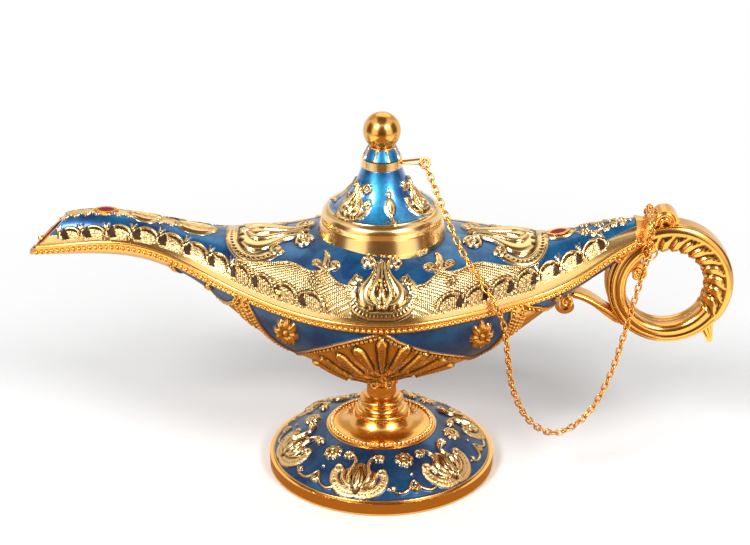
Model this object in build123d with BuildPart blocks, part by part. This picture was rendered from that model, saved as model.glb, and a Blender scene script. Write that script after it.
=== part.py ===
from build123d import *
import os
from math import atan2, ceil, cos, hypot, radians, sin

# Genie oil lamp: a boat-shaped bowl of two cast shells on a turned stem and a domed foot, with a
# lift-off bell lid, a scrolled handle and a fine chain from the lid to the handle.
# X runs from the spout (-X) to the handle (+X), Z is up, and the origin is at the middle of the
# foot, on the surface that the lamp stands on. All sizes are in millimetres.

# The bowl
reach = 109.8
tail_reach = 79.6
half_beam = 34.0
sheer_height = 63.3
hull_depth = 30.0
crown_rise = 20.8
spout_rise = 16.0
tail_rise = 16.4
shell_wall = 1.5
rim_projection = 0.8
deck_rim_height = 1.3
bowl_rim_height = 1.6
mouth_slant = 12.6
mouth_height = 12.9

# The enamel fields of the bowl
enamel_depth = 0.4
deck_border = 5.5
deck_field_front = 93.0
deck_field_back = 76.0
hull_border = 3.4
hull_field_front = 66.0
hull_field_back = 71.0
fan_peak = 62.0
fan_foot = 46.5
fan_reach = 27.0
collar_border = 0.8

# The cast palmettes of the deck: angles up the half ellipse of the deck's middle section for the
# two on its sides, and X for the two on its ridge, each from the crescent's foot to the top. The
# blocks that they are cut from reach this far above and below the line between those two points.
palmette_relief = 1.0
palmette_sides = (8.0, 54.0)
palmette_spout = (-47.8, -21.3)
palmette_tail = (48.0, 24.3)
palmette_block = 5.5

# The foot
foot_radius = 36.3
foot_rim_height = 3.9
foot_rim_width = 1.4
foot_wall = 1.8
foot_land = 2.6
dome_rise = 9.0
dome_bulge = 1.6
saucer_radius = 17.3
saucer_lip = 0.8
saucer_lip_width = 2.3
saucer_rise = 3.6
hub_radius = 9.2
hub_thickness = 3.0

# The stem
stem_base_radius = 8.7
stem_base_height = 1.9
stem_ring_radius = 6.4
stem_ring_rise = 4.4
stem_ring_height = 1.7
column_radius = 4.7
column_rise = 7.0
groove_depth = 0.5
groove_rise = 10.8
groove_height = 0.6
boss_radius = 5.6
boss_drop = 0.7
boss_pad = 1.5

# The bolt that clamps the foot, the stem and the bowl together
bolt_radius = 2.0
bolt_clearance = 0.15
bolt_head_radius = 3.6
bolt_head_height = 2.4
bolt_slot_width = 0.9
bolt_slot_depth = 1.0
bolt_end = 1.4
washer_thickness = 0.8
washer_radius = 4.6
nut_radius = 3.9
nut_height = 3.0

# The collar
collar_radius = 19.9
collar_top_radius = 18.9
collar_bore = 16.2
collar_top = 84.9
collar_band = 3.8
sleeve_wall = 1.3
sleeve_depth = 9.0
sleeve_clearance = 0.1

# The lid
rest_gap = 0.05
plug_clearance = 0.3
plug_depth = 5.0
lid_wall = 1.5
flange_radius = 18.5
flange_height = 1.6
shoulder_radius = 15.0
shoulder_rise = 4.0
neck_radius = 6.0
neck_rise = 17.6
band_height = 2.5
band_projection = 0.35
crown_radius = 3.9
lid_height = 24.0
ball_radius = 5.76
ball_rise = 28.8
stud_radius = 1.6
stud_length = 5.0
stud_clearance = 0.1

# The wire eye on the lid's neck, and the jump rings at the ends of the chain
eye_wire = 0.7
eye_reach = 13.4
eye_spread = 3.0
eye_turn = -8.0
eye_tilt = 5.0
jump_radius = 1.5
jump_wire = 0.6
hanger_radius = 2.3

# The chain
link_length = 3.4
link_width = 2.2
link_wire = 0.55
link_play = 0.16
loop_half_width = 7.6
loop_half_height = 8.4
loop_x = 82.6
loop_z = 79.9
loop_lean = 3.0

# The handle
ring_radius = 19.8
ring_z = 64.0
hole_radius = 13.1
hole_shift_x = -0.9
hole_shift_z = -1.5
handle_width = 7.0
handle_edge = 1.5
leaf_width = 1.7
leaf_proud = 0.5
leaf_slant = 38.0
curl_radius = 4.1
curl_angle = 97.0
curl_offset = 0.9
curl_width = 5.8
curl_eye_radius = 1.3
curl_eye_depth = 1.0
curl_root_radius = 1.6
curl_root_x = 82.4
curl_root_z = 81.2
tip_width = 4.0
tip_root_radius = 2.7
tip_root_reach = 17.4
tip_root_angle = -47.0
tip_end_radius = 1.0
tip_end_reach = 24.2
tip_end_angle = -55.0
root_lap = 1.2
root_growth = 0.8
root_length = 4.6
inner_scroll_radius = 2.5
inner_scroll_angle = 152.0

# The strap that braces the handle against the bowl
strap_width = 5.0
strap_thickness = 2.3
scroll_radius = 2.6
scroll_thickness = 1.25

# The set stones
stone_length = 5.4
stone_width = 3.4
stone_height = 1.0
stone_taper = 35.0
bezel_wall = 0.7
bezel_height = 0.8
bezel_sink = 1.2

# Overrun of every cut
overrun = 30.0

# The lines of the bowl, station by station from the spout to the tail. Each row holds shares:
# of the reach along X, of half_beam, of the rise of the seam, of hull_depth and of crown_rise.
spout_shares = [
    (1.040, 0.065, 0.66, 0.060, 0.300),
    (1.000, 0.088, 0.74, 0.064, 0.345),
    (0.880, 0.165, 0.90, 0.125, 0.415),
    (0.770, 0.209, 0.99, 0.170, 0.385),
    (0.640, 0.259, 0.88, 0.190, 0.350),
    (0.500, 0.379, 0.51, 0.253, 0.466),
    (0.364, 0.588, 0.22, 0.523, 0.615),
    (0.182, 0.882, 0.05, 0.815, 0.810),
]
middle_shares = (0.0, 1.0, 0.0, 1.0, 1.0)
tail_shares = [
    (0.251, 0.882, 0.05, 0.875, 0.765),
    (0.503, 0.588, 0.08, 0.580, 0.680),
    (0.628, 0.441, 0.14, 0.350, 0.640),
    (0.754, 0.318, 0.34, 0.217, 0.570),
    (0.880, 0.224, 0.70, 0.200, 0.400),
    (1.000, 0.159, 1.00, 0.155, 0.240),
]

# The curve of the bell between its shoulder and its neck, as shares of the drop in radius and
# of the rise that the two inner control points have reached
bell_shares = [(0.60, 0.265), (0.867, 0.70)]

# The leaves round the handle, as shares of a full turn and of the ring's thickness there
leaf_shares = [(0.262, 0.50), (0.229, 0.60), (0.195, 0.70), (0.161, 0.78), (0.127, 0.82),
               (0.093, 0.84), (0.059, 0.84), (0.025, 0.82), (-0.009, 0.78), (-0.043, 0.70)]

# Half the outline of a palmette's lyre and of the crescent round it, as shares of its length,
# along it and across it
lyre_shares = [(0.05, 0), (0.05, 0.10), (0.20, 0.25), (0.34, 0.32), (0.46, 0.30), (0.58, 0.20),
               (0.80, 0.13), (0.86, 0.30), (0.94, 0.32), (1.0, 0.23), (0.92, 0.11), (0.92, 0)]
crescent_shares = [(0, 0), (0.01, 0.17), (0.07, 0.36), (0.20, 0.51), (0.38, 0.56), (0.57, 0.46),
                   (0.61, 0.35), (0.52, 0.29), (0.44, 0.42), (0.28, 0.43), (0.14, 0.31),
                   (0.09, 0.14), (0.09, 0)]

# The two stones along the ridge of the deck, as shares of the reach that way
spout_stone_share = 0.775
tail_stone_share = 0.69

# The strap from the handle to the bowl, as shares of ring_radius from the ring's middle, and
# the turns of the two scrolls, as shares of their radius and degrees
strap_shares = [(-0.750, -0.660), (-1.140, -0.375), (-1.505, -0.205)]
strap_scroll_shares = [(1.75, 70), (1.0, 170), (0.60, 180), (0.30, 120)]
inner_scroll_shares = [(1.0, -180), (0.66, -180), (0.34, -150)]

# Where the last ring crosses the loop on the handle, as a share of the loop's turn
hanger_share = 0.585

# The route of the chain from the lid's eye to the handle, chosen by hand
chain_route = [
    (12.9, -1.8, 104.4),
    (15.6, -6.0, 98.4),
    (19.4, -11.6, 90.4),
    (23.6, -16.8, 82.0),
    (28.7, -21.9, 74.9),
    (33.7, -25.7, 68.4),
    (37.0, -27.0, 61.4),
    (38.4, -25.4, 50.0),
    (40.0, -23.2, 37.6),
    (45.4, -20.4, 24.6),
    (54.6, -17.0, 17.2),
    (65.2, -13.4, 22.4),
    (72.0, -11.2, 35.4),
    (75.8, -9.8, 50.0),
    (78.8, -8.6, 62.4),
    (81.8, -6.9, 74.1),
]


def lines_of_bowl():
    """Every station as (x, half beam, seam height, depth below the seam, crown above it)."""
    rows = [(-reach, spout_rise, row) for row in spout_shares]
    rows += [(reach, spout_rise, middle_shares)]
    rows += [(tail_reach, tail_rise, row) for row in tail_shares]
    return [
        (
            length * row[0],
            half_beam * row[1],
            sheer_height + rise * row[2],
            hull_depth * row[3],
            crown_rise * row[4],
        )
        for length, rise, row in rows
    ]


stations = lines_of_bowl()


def bowl_solid(growth):
    """The closed lens-shaped body of the bowl, with its surface moved out by growth."""
    with BuildPart() as body:
        for x, beam, seam, depth, crown in stations:
            end = tail_reach + min(growth, 0)
            section = Plane(origin=(min(x, end), 0, seam), x_dir=(0, 1, 0), z_dir=(1, 0, 0))
            with BuildSketch(section):
                with BuildLine():
                    EllipticalCenterArc((0, 0), beam + growth, crown + growth, 0, arc_size=180)
                    EllipticalCenterArc((0, 0), beam + growth, depth + growth, 180, arc_size=180)
                make_face()
        loft()
    return body.part


def above_seam(lift):
    """Everything above the seam line moved up by lift, as one thick extruded profile."""
    line = [(x, seam + lift) for x, _, seam, _, _ in stations]
    front = (line[0][0] - overrun, line[0][1])
    back = (line[-1][0] + overrun, line[-1][1])
    roof = collar_top + overrun
    with BuildPart() as block:
        with BuildSketch(Plane.XZ):
            with BuildLine():
                Polyline(line[0], front, (front[0], roof), (back[0], roof), back, line[-1])
                Spline(*line)
            make_face()
        extrude(amount=half_beam + overrun, both=True)
    return block.part


def upright_prism(points, half_width):
    """A prism across the lamp, from an outline given as X and Z."""
    with BuildPart() as prism:
        with BuildSketch(Plane.XZ):
            with BuildLine():
                Polyline(*points, close=True)
            make_face()
        extrude(amount=half_width, both=True)
    return prism.part


def turned(points):
    """A turned solid from straight runs, given as radius and height."""
    with BuildPart() as solid:
        with BuildSketch(Plane.XZ):
            with BuildLine():
                Polyline(*points, close=True)
            make_face()
        revolve(axis=Axis.Z)
    return solid.part


def crown_at(x):
    """The height of the deck's ridge at x, between the stations on either side."""
    for near, far in zip(stations, stations[1:]):
        if near[0] <= x <= far[0]:
            share = (x - near[0]) / (far[0] - near[0])
            low, high = near[2] + near[4], far[2] + far[4]
            return low + share * (high - low)
    return sheer_height + crown_rise


def around(middle, radius, angle):
    """The point at this radius and angle in degrees round a middle point."""
    return (middle[0] + radius * cos(radians(angle)), middle[1] + radius * sin(radians(angle)))


def write(piece, name):
    """Label one finished piece and write it under its node's name."""
    piece.part.label = name
    export_step(piece.part, "parts/" + name + ".step")


os.makedirs("parts", exist_ok=True)

# The blocks that the bowl's pieces are cut from
outer = bowl_solid(0)
inner = bowl_solid(-shell_wall)
skin = bowl_solid(-enamel_depth)
moulding = bowl_solid(rim_projection)
upper_half = above_seam(0)
deck_block = above_seam(deck_rim_height)
hull_top = above_seam(-bowl_rim_height)
deck_field = above_seam(deck_border)
hull_field = above_seam(-hull_border)

# The slanted mouth of the spout, cut from its lip up and back to the deck
lip_x, lip_z = -reach, stations[1][2] - stations[1][3]
mouth_run = overrun / hypot(mouth_slant, mouth_height)
mouth = upright_prism(
    [
        (lip_x - mouth_slant * mouth_run, lip_z - mouth_height * mouth_run),
        (lip_x + mouth_slant * mouth_run, lip_z + mouth_height * mouth_run),
        (lip_x - overrun, lip_z + mouth_height * mouth_run),
    ],
    half_beam,
)

# The polished bands that cover the seam on either side, from the spout's mouth to the tail
with BuildPart() as rim:
    add(moulding)
    add(outer, mode=Mode.SUBTRACT)
    add(hull_top, mode=Mode.INTERSECT)
    add(deck_block, mode=Mode.SUBTRACT)
    add(mouth, mode=Mode.SUBTRACT)
rim_sides = rim.part.solids().sort_by(Axis.Y)
with BuildPart() as rim_band_front:
    add(rim_sides[0])
with BuildPart() as rim_band_back:
    add(rim_sides[-1])
write(rim_band_front, "rim_band_front")
write(rim_band_back, "rim_band_back")

# The two enamel fields of the hull, on either side of the fan of gold over the stem
with BuildPart() as hull_enamel:
    add(outer)
    add(skin, mode=Mode.SUBTRACT)
    add(hull_field, mode=Mode.SUBTRACT)
    add(
        upright_prism(
            [(-hull_field_front, 0), (hull_field_back, 0), (hull_field_back, collar_top),
             (-hull_field_front, collar_top)],
            half_beam,
        ),
        mode=Mode.INTERSECT,
    )
    add(
        upright_prism(
            [(-fan_reach, 0), (fan_reach, 0), (fan_reach, fan_foot), (0, fan_peak),
             (-fan_reach, fan_foot)],
            half_beam,
        ),
        mode=Mode.SUBTRACT,
    )
hull_sides = hull_enamel.part.solids().sort_by(Axis.X)
with BuildPart() as hull_enamel_spout:
    add(hull_sides[0])
with BuildPart() as hull_enamel_tail:
    add(hull_sides[-1])
write(hull_enamel_spout, "hull_enamel_spout")
write(hull_enamel_tail, "hull_enamel_tail")


def ridge_plane(x):
    """The plane that touches the deck's ridge at x, with its normal out of the deck."""
    step = stone_length / 2
    slope = atan2(crown_at(x + step) - crown_at(x - step), 2 * step)
    return Plane(origin=(x, 0, crown_at(x)), x_dir=(cos(slope), 0, sin(slope)),
                 z_dir=(-sin(slope), 0, cos(slope)))


def lens(length, width):
    """The two arcs of a pointed oval."""
    SagittaArc((-length / 2, 0), (length / 2, 0), width / 2)
    SagittaArc((length / 2, 0), (-length / 2, 0), width / 2)


def set_stone(x, end):
    """Write the stone and the bezel at one end of the deck, and give the pocket they fill."""
    seat = ridge_plane(x)
    floor = seat.offset(-bezel_sink)
    bed = seat.offset(-bezel_sink / 2)
    bezel_top = bezel_sink + bezel_height
    with BuildPart() as pocket:
        with BuildSketch(floor):
            with BuildLine():
                lens(stone_length + 2 * bezel_wall * stone_length / stone_width,
                     stone_width + 2 * bezel_wall)
            make_face()
        extrude(amount=bezel_top)
    with BuildPart() as bezel:
        add(pocket.part)
        with BuildSketch(bed):
            with BuildLine():
                lens(stone_length, stone_width)
            make_face()
        extrude(amount=bezel_top, mode=Mode.SUBTRACT)
    with BuildPart() as stone:
        with BuildSketch(bed):
            with BuildLine():
                lens(stone_length, stone_width)
            make_face()
        extrude(amount=bezel_top - bezel_sink / 2)
        with BuildSketch(seat.offset(bezel_height)):
            with BuildLine():
                lens(stone_length, stone_width)
            make_face()
        extrude(amount=stone_height, taper=stone_taper)
    write(bezel, "bezel_" + end)
    write(stone, "stone_" + end)
    return pocket.part


pockets = [
    set_stone(-reach * spout_stone_share, "spout"),
    set_stone(tail_reach * tail_stone_share, "tail"),
]

# The four cast palmettes that stand on the deck
with BuildPart() as relief_shell:
    add(bowl_solid(palmette_relief))
    add(outer, mode=Mode.SUBTRACT)


def palmette(foot, top):
    """A cast palmette on the deck, a lyre in a crescent, from its foot to its top."""
    along = Vector(*top) - Vector(*foot)
    across = Vector(0, 0, 1).cross(along).normalized()
    with BuildPart() as cast:
        with BuildSketch(Plane(origin=foot, x_dir=across, z_dir=across.cross(along))):
            for shares in (lyre_shares, crescent_shares):
                half = [(side * along.length, run * along.length) for run, side in shares]
                other = [(-side, run) for side, run in reversed(half) if side]
                with BuildLine():
                    Polyline(*half, *other, close=True)
                make_face()
        extrude(amount=palmette_block, both=True)
        add(relief_shell.part, mode=Mode.INTERSECT)
    return cast


def deck_side(angle):
    """The point of the deck's middle section at this angle, on the side of -Y."""
    return (0, -half_beam * cos(radians(angle)), sheer_height + crown_rise * sin(radians(angle)))


palmette_front = palmette(*[deck_side(angle) for angle in palmette_sides])
with BuildPart() as palmette_back:
    mirror(palmette_front.part, about=Plane.XZ)
write(palmette_front, "palmette_front")
write(palmette_back, "palmette_back")
for end, ridge in (("spout", palmette_spout), ("tail", palmette_tail)):
    write(palmette(*[(x, 0, crown_at(x)) for x in ridge]), "palmette_" + end)

# The enamel field of the deck, round the collar and along both sides
sleeve_radius = collar_bore + sleeve_wall
with BuildPart() as deck_enamel:
    add(outer)
    add(skin, mode=Mode.SUBTRACT)
    add(deck_field, mode=Mode.INTERSECT)
    add(
        upright_prism(
            [(-deck_field_front, 0), (deck_field_back, 0), (deck_field_back, collar_top + overrun),
             (-deck_field_front, collar_top + overrun)],
            half_beam,
        ),
        mode=Mode.INTERSECT,
    )
    with BuildSketch(Plane.XY.offset(sheer_height)):
        Circle(collar_radius + collar_border)
    extrude(amount=overrun, mode=Mode.SUBTRACT)
    add(pockets, mode=Mode.SUBTRACT)
write(deck_enamel, "deck_enamel")

# The upper shell of the bowl, with the hole that takes the collar's sleeve
with BuildPart() as bowl_upper:
    add(outer)
    add(upper_half, mode=Mode.INTERSECT)
    add(inner, mode=Mode.SUBTRACT)
    add(mouth, mode=Mode.SUBTRACT)
    with BuildSketch(Plane.XY.offset(sheer_height)):
        Circle(sleeve_radius + sleeve_clearance)
    extrude(amount=overrun, mode=Mode.SUBTRACT)
    add(deck_enamel.part, mode=Mode.SUBTRACT)
    add(pockets, mode=Mode.SUBTRACT)
write(bowl_upper, "bowl_upper")

# The lower shell of the bowl, with the pad inside that the stem's bolt clamps
boss_bottom = sheer_height - hull_depth - boss_drop
boss_top = sheer_height - hull_depth + shell_wall + boss_pad
bolt_hole = bolt_radius + bolt_clearance
with BuildPart() as bowl_lower:
    add(outer)
    add(upper_half, mode=Mode.SUBTRACT)
    add(inner, mode=Mode.SUBTRACT)
    add(mouth, mode=Mode.SUBTRACT)
    add(hull_enamel.part, mode=Mode.SUBTRACT)
    with BuildSketch(Plane.XY.offset(boss_bottom)):
        Circle(boss_radius)
    extrude(amount=boss_top - boss_bottom)
    with BuildSketch(Plane.XY.offset(boss_bottom)):
        Circle(bolt_hole)
    extrude(amount=boss_top - boss_bottom, mode=Mode.SUBTRACT)
write(bowl_lower, "bowl_lower")

# The foot: a domed disc with a flat land under its edge and a raised saucer
dome_edge = foot_radius - foot_rim_width
dome_top = foot_rim_height + dome_rise
lip_top = dome_top + saucer_lip
foot_top = lip_top + saucer_rise
saucer_edge = saucer_radius - saucer_lip_width


def dome_arc(drop):
    """The bulging line of the dome from its edge to the saucer, moved down by drop."""
    run, rise = dome_edge - saucer_radius, dome_rise
    length = hypot(run, rise)
    middle = (
        (dome_edge + saucer_radius) / 2 + dome_bulge * rise / length,
        foot_rim_height + rise / 2 + dome_bulge * run / length - drop,
    )
    ThreePointArc((dome_edge, foot_rim_height - drop), middle, (saucer_radius, dome_top - drop))


with BuildPart() as foot_enamel:
    with BuildSketch(Plane.XZ):
        with BuildLine():
            dome_arc(0)
            Line((saucer_radius, dome_top), (saucer_radius, dome_top - enamel_depth))
            dome_arc(enamel_depth)
            Line((dome_edge, foot_rim_height - enamel_depth), (dome_edge, foot_rim_height))
        make_face()
    revolve(axis=Axis.Z)
write(foot_enamel, "foot_enamel")

hub_bottom = foot_top - hub_thickness
with BuildPart() as foot:
    with BuildSketch(Plane.XZ):
        with BuildLine():
            Polyline((foot_radius - foot_land, 0), (foot_radius, 0), (foot_radius, foot_rim_height),
                     (dome_edge, foot_rim_height))
            dome_arc(0)
            Polyline((saucer_radius, dome_top), (saucer_radius, lip_top), (saucer_edge, lip_top))
            TangentArc((saucer_edge, lip_top), (hub_radius, foot_top), tangent=(-1, 0))
            Polyline((hub_radius, foot_top), (bolt_hole, foot_top), (bolt_hole, hub_bottom),
                     (hub_radius, hub_bottom), (saucer_edge, dome_top - foot_wall),
                     (saucer_radius, dome_top - foot_wall))
            dome_arc(foot_wall)
            Line((dome_edge, foot_rim_height - foot_wall), (foot_radius - foot_land, 0))
        make_face()
    revolve(axis=Axis.Z)
    add(foot_enamel.part, mode=Mode.SUBTRACT)
write(foot, "foot")

# The stem: base ring, cove, second ring, and a grooved column up to the bowl's boss
ring_low = foot_top + stem_ring_rise
ring_high = ring_low + stem_ring_height
column_low = foot_top + column_rise
groove_low = foot_top + groove_rise
with BuildPart() as stem:
    with BuildSketch(Plane.XZ):
        with BuildLine():
            Line((bolt_hole, foot_top), (stem_base_radius, foot_top))
            base = Line((stem_base_radius, foot_top),
                        (stem_base_radius, foot_top + stem_base_height / 2))
            top_of_base = (stem_base_radius - stem_base_height / 2, foot_top + stem_base_height)
            TangentArc(base @ 1, top_of_base, tangent=base % 1)
            TangentArc(top_of_base, (stem_ring_radius, ring_low), tangent=(-1, 0))
            ThreePointArc((stem_ring_radius, ring_low),
                          (stem_ring_radius + stem_ring_height / 3, (ring_low + ring_high) / 2),
                          (stem_ring_radius, ring_high))
            TangentArc((stem_ring_radius, ring_high), (column_radius, column_low), tangent=(-1, 0))
            Polyline((column_radius, column_low), (column_radius, groove_low),
                     (column_radius - groove_depth, groove_low),
                     (column_radius - groove_depth, groove_low + groove_height),
                     (column_radius, groove_low + groove_height))
            Line((column_radius, groove_low + groove_height), (boss_radius, boss_bottom))
            Polyline((boss_radius, boss_bottom), (bolt_hole, boss_bottom), (bolt_hole, foot_top))
        make_face()
    revolve(axis=Axis.Z)
write(stem, "stem")

# The bolt from under the foot, its washer, and the nut inside the bowl
washer_bottom = hub_bottom - washer_thickness
head_bottom = washer_bottom - bolt_head_height
nut_top = boss_top + nut_height
with BuildPart() as washer:
    with BuildSketch(Plane.XY.offset(washer_bottom)):
        Circle(washer_radius)
        Circle(bolt_hole, mode=Mode.SUBTRACT)
    extrude(amount=washer_thickness)
write(washer, "foot_washer")

with BuildPart() as bolt:
    with BuildSketch(Plane.XY.offset(head_bottom)):
        Circle(bolt_head_radius)
    extrude(amount=bolt_head_height)
    chamfer(bolt.edges().sort_by(Axis.Z)[0], bolt_head_height / 5)
    with BuildSketch(Plane.XY.offset(washer_bottom)):
        Circle(bolt_radius)
    extrude(amount=nut_top + bolt_end - washer_bottom)
    with BuildSketch(Plane.XY.offset(head_bottom)):
        Rectangle(2 * bolt_head_radius, bolt_slot_width)
    extrude(amount=bolt_slot_depth, mode=Mode.SUBTRACT)
write(bolt, "stem_bolt")

with BuildPart() as nut:
    with BuildSketch(Plane.XY.offset(boss_top)):
        RegularPolygon(nut_radius, 6)
        Circle(bolt_radius, mode=Mode.SUBTRACT)
    extrude(amount=nut_height)
write(nut, "bowl_nut")

# The collar: a tapered band that sits on the deck, and a sleeve down through the deck's hole
with BuildPart() as band:
    with BuildSketch(Plane.XZ):
        with BuildLine():
            Polyline((collar_bore, sheer_height), (collar_radius, sheer_height),
                     (collar_radius, collar_top - collar_band), (collar_top_radius, collar_top),
                     (collar_bore, collar_top), close=True)
        make_face()
    revolve(axis=Axis.Z)
    add(outer, mode=Mode.SUBTRACT)
with BuildPart() as collar:
    add(band.part)
    with BuildSketch(Plane.XY.offset(collar_top - sleeve_depth)):
        Circle(sleeve_radius)
        Circle(collar_bore, mode=Mode.SUBTRACT)
    extrude(amount=sleeve_depth)
write(collar, "collar")

# The lid: a hollow bell with a flange on the collar and a skirt down inside it
lid_base = collar_top + rest_gap
shoulder_z = lid_base + shoulder_rise
neck_z = lid_base + neck_rise
band_z = neck_z + band_height
lid_top = lid_base + lid_height
plug_radius = collar_bore - plug_clearance
plug_bottom = lid_base - plug_depth


def bell_curve(inset, lift=0):
    """The bell's line from shoulder to neck, moved in by inset, with its end moved up by lift."""
    drop, rise = shoulder_radius - neck_radius, neck_z - shoulder_z
    middle = [
        (shoulder_radius - inset - drop * down, shoulder_z + rise * up) for down, up in bell_shares
    ]
    Bezier((shoulder_radius - inset, shoulder_z), *middle, (neck_radius - inset, neck_z + lift))


with BuildPart() as lid_enamel:
    with BuildSketch(Plane.XZ):
        with BuildLine():
            bell_curve(0)
            Line((neck_radius, neck_z), (neck_radius - enamel_depth, neck_z))
            bell_curve(enamel_depth)
            Line((shoulder_radius - enamel_depth, shoulder_z), (shoulder_radius, shoulder_z))
        make_face()
    revolve(axis=Axis.Z)
write(lid_enamel, "lid_enamel")

neck_low = neck_radius - band_projection
with BuildPart() as neck_enamel:
    add(turned([(neck_low, band_z), (crown_radius, lid_top - enamel_depth),
                (crown_radius - enamel_depth, lid_top - enamel_depth),
                (neck_low - enamel_depth, band_z)]))
write(neck_enamel, "neck_enamel")

# The wire eye, a narrow loop that opens towards its end
eye_root = neck_low - 2 * eye_wire
eye_end = eye_reach - eye_wire / 2
eye_z = neck_z + band_height / 2 - neck_radius * sin(radians(eye_tilt))
eye_plane = Plane.XY.offset(eye_z).rotated((0, -eye_tilt, eye_turn))
with BuildPart() as lid_eye:
    with BuildLine(eye_plane) as eye_line:
        FilletPolyline((eye_root, -eye_wire / 2), (eye_end, -eye_spread / 2 - eye_wire),
                       (eye_end, eye_spread / 2 + eye_wire), (eye_root, eye_wire / 2),
                       radius=eye_spread / 2)
    with BuildSketch(Plane(origin=eye_line.line @ 0, z_dir=eye_line.line % 0)):
        Circle(eye_wire / 2)
    sweep()
write(lid_eye, "lid_eye")

stud_hole = stud_radius + stud_clearance
with BuildPart() as lid:
    with BuildSketch(Plane.XZ):
        with BuildLine():
            Polyline((plug_radius - lid_wall, plug_bottom), (plug_radius, plug_bottom),
                     (plug_radius, lid_base), (flange_radius, lid_base),
                     (flange_radius, lid_base + flange_height))
            TangentArc((flange_radius, lid_base + flange_height), (shoulder_radius, shoulder_z),
                       tangent=(0, 1))
            bell_curve(0)
            Polyline((neck_radius, neck_z), (neck_radius + band_projection, neck_z),
                     (neck_radius + band_projection / 2, band_z), (neck_low, band_z),
                     (crown_radius, lid_top - enamel_depth), (crown_radius, lid_top),
                     (stud_hole, lid_top), (stud_hole, neck_z - lid_wall),
                     (neck_radius - lid_wall, neck_z - lid_wall))
            bell_curve(lid_wall, lift=-lid_wall)
            Polyline((shoulder_radius - lid_wall, shoulder_z), (plug_radius - lid_wall, lid_base),
                     (plug_radius - lid_wall, plug_bottom))
        make_face()
    revolve(axis=Axis.Z)
    add(lid_enamel.part, mode=Mode.SUBTRACT)
    add(neck_enamel.part, mode=Mode.SUBTRACT)
    add(lid_eye.part, mode=Mode.SUBTRACT)
write(lid, "lid")

# The ball on top, with the stud that it screws into the lid by
ball_z = lid_base + ball_rise
with BuildPart() as finial:
    with Locations((0, 0, ball_z)):
        Sphere(ball_radius)
    with BuildSketch(Plane.XY.offset(lid_top - ball_radius)):
        Circle(ball_radius)
    extrude(amount=ball_radius, mode=Mode.SUBTRACT)
    with BuildSketch(Plane.XY.offset(lid_top - stud_length)):
        Circle(stud_radius)
    extrude(amount=stud_length + ball_radius / 2)
write(finial, "finial")

# The handle: a crescent ring that grips the tail, with leaves, a curl, a tip and a small scroll
ring_x = reach - ring_radius
ring_middle = (ring_x, ring_z)
hole_middle = (ring_x + hole_shift_x, ring_z + hole_shift_z)


def ring_inner(angle):
    """The distance from the ring's middle to its inner edge at this angle."""
    return hole_radius + hole_shift_x * cos(radians(angle)) + hole_shift_z * sin(radians(angle))


def wind(start, heading, radius, turns):
    """Arcs that wind inwards from start, each a share of the radius and a turn in degrees."""
    for share, turn in turns:
        arc = JernArc(start, heading, radius * share, turn)
        start, heading = arc @ 1, arc % 1


with BuildPart() as handle:
    with BuildSketch(Plane.XZ):
        with Locations(ring_middle):
            Circle(ring_radius)
        with Locations(hole_middle):
            Circle(hole_radius, mode=Mode.SUBTRACT)
    extrude(amount=handle_width / 2, both=True)
    fillet(handle.edges(), handle_edge)
    for turn_share, length_share in leaf_shares:
        angle = 360 * turn_share
        thickness = ring_radius - ring_inner(angle)
        spot = around(ring_middle, ring_radius - thickness / 2, angle)
        with BuildSketch(Plane.XZ):
            with Locations(Location(spot)):
                SlotOverall(thickness * length_share, leaf_width, rotation=angle + leaf_slant)
        extrude(amount=handle_width / 2 + leaf_proud, both=True)
    with BuildSketch(Plane.XZ):
        with Locations(around(ring_middle, ring_radius + curl_offset, curl_angle)):
            Circle(curl_radius)
        with Locations((curl_root_x, curl_root_z)):
            Circle(curl_root_radius)
        make_hull()
    extrude(amount=curl_width / 2, both=True)
    for side in (-1, 1):
        with BuildSketch(Plane.XZ.offset(side * curl_width / 2)):
            with Locations(around(ring_middle, ring_radius + curl_offset, curl_angle)):
                Circle(curl_eye_radius)
        extrude(amount=-side * curl_eye_depth, mode=Mode.SUBTRACT)
    with BuildSketch(Plane.XZ):
        with Locations(around(ring_middle, tip_root_reach, tip_root_angle)):
            Circle(tip_root_radius)
        with Locations(around(ring_middle, tip_end_reach, tip_end_angle)):
            Circle(tip_end_radius)
        make_hull()
    extrude(amount=tip_width / 2, both=True)
    with BuildSketch(Plane.XZ):
        with BuildLine():
            wind(around(hole_middle, hole_radius, inner_scroll_angle),
                 (sin(radians(inner_scroll_angle)), -cos(radians(inner_scroll_angle))),
                 inner_scroll_radius, inner_scroll_shares)
        trace(line_width=scroll_thickness)
    extrude(amount=strap_width / 2, both=True)
    tail_middle = stations[-1][2] + (stations[-1][4] - stations[-1][3]) / 2
    tail_high = (stations[-1][4] + stations[-1][3]) / 2
    tail_wide = stations[-1][1]
    with BuildSketch(Plane(origin=(tail_reach - root_lap, 0, tail_middle), x_dir=(0, 1, 0),
                           z_dir=(1, 0, 0))):
        Ellipse(tail_wide + root_growth, tail_high + root_growth)
    with BuildSketch(Plane(origin=(tail_reach + root_length, 0, tail_middle), x_dir=(0, 1, 0),
                           z_dir=(1, 0, 0))):
        Ellipse(handle_width / 2, tail_high)
    loft()
    add(outer, mode=Mode.SUBTRACT)
    add(rim.part, mode=Mode.SUBTRACT)
write(handle, "handle")

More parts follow.
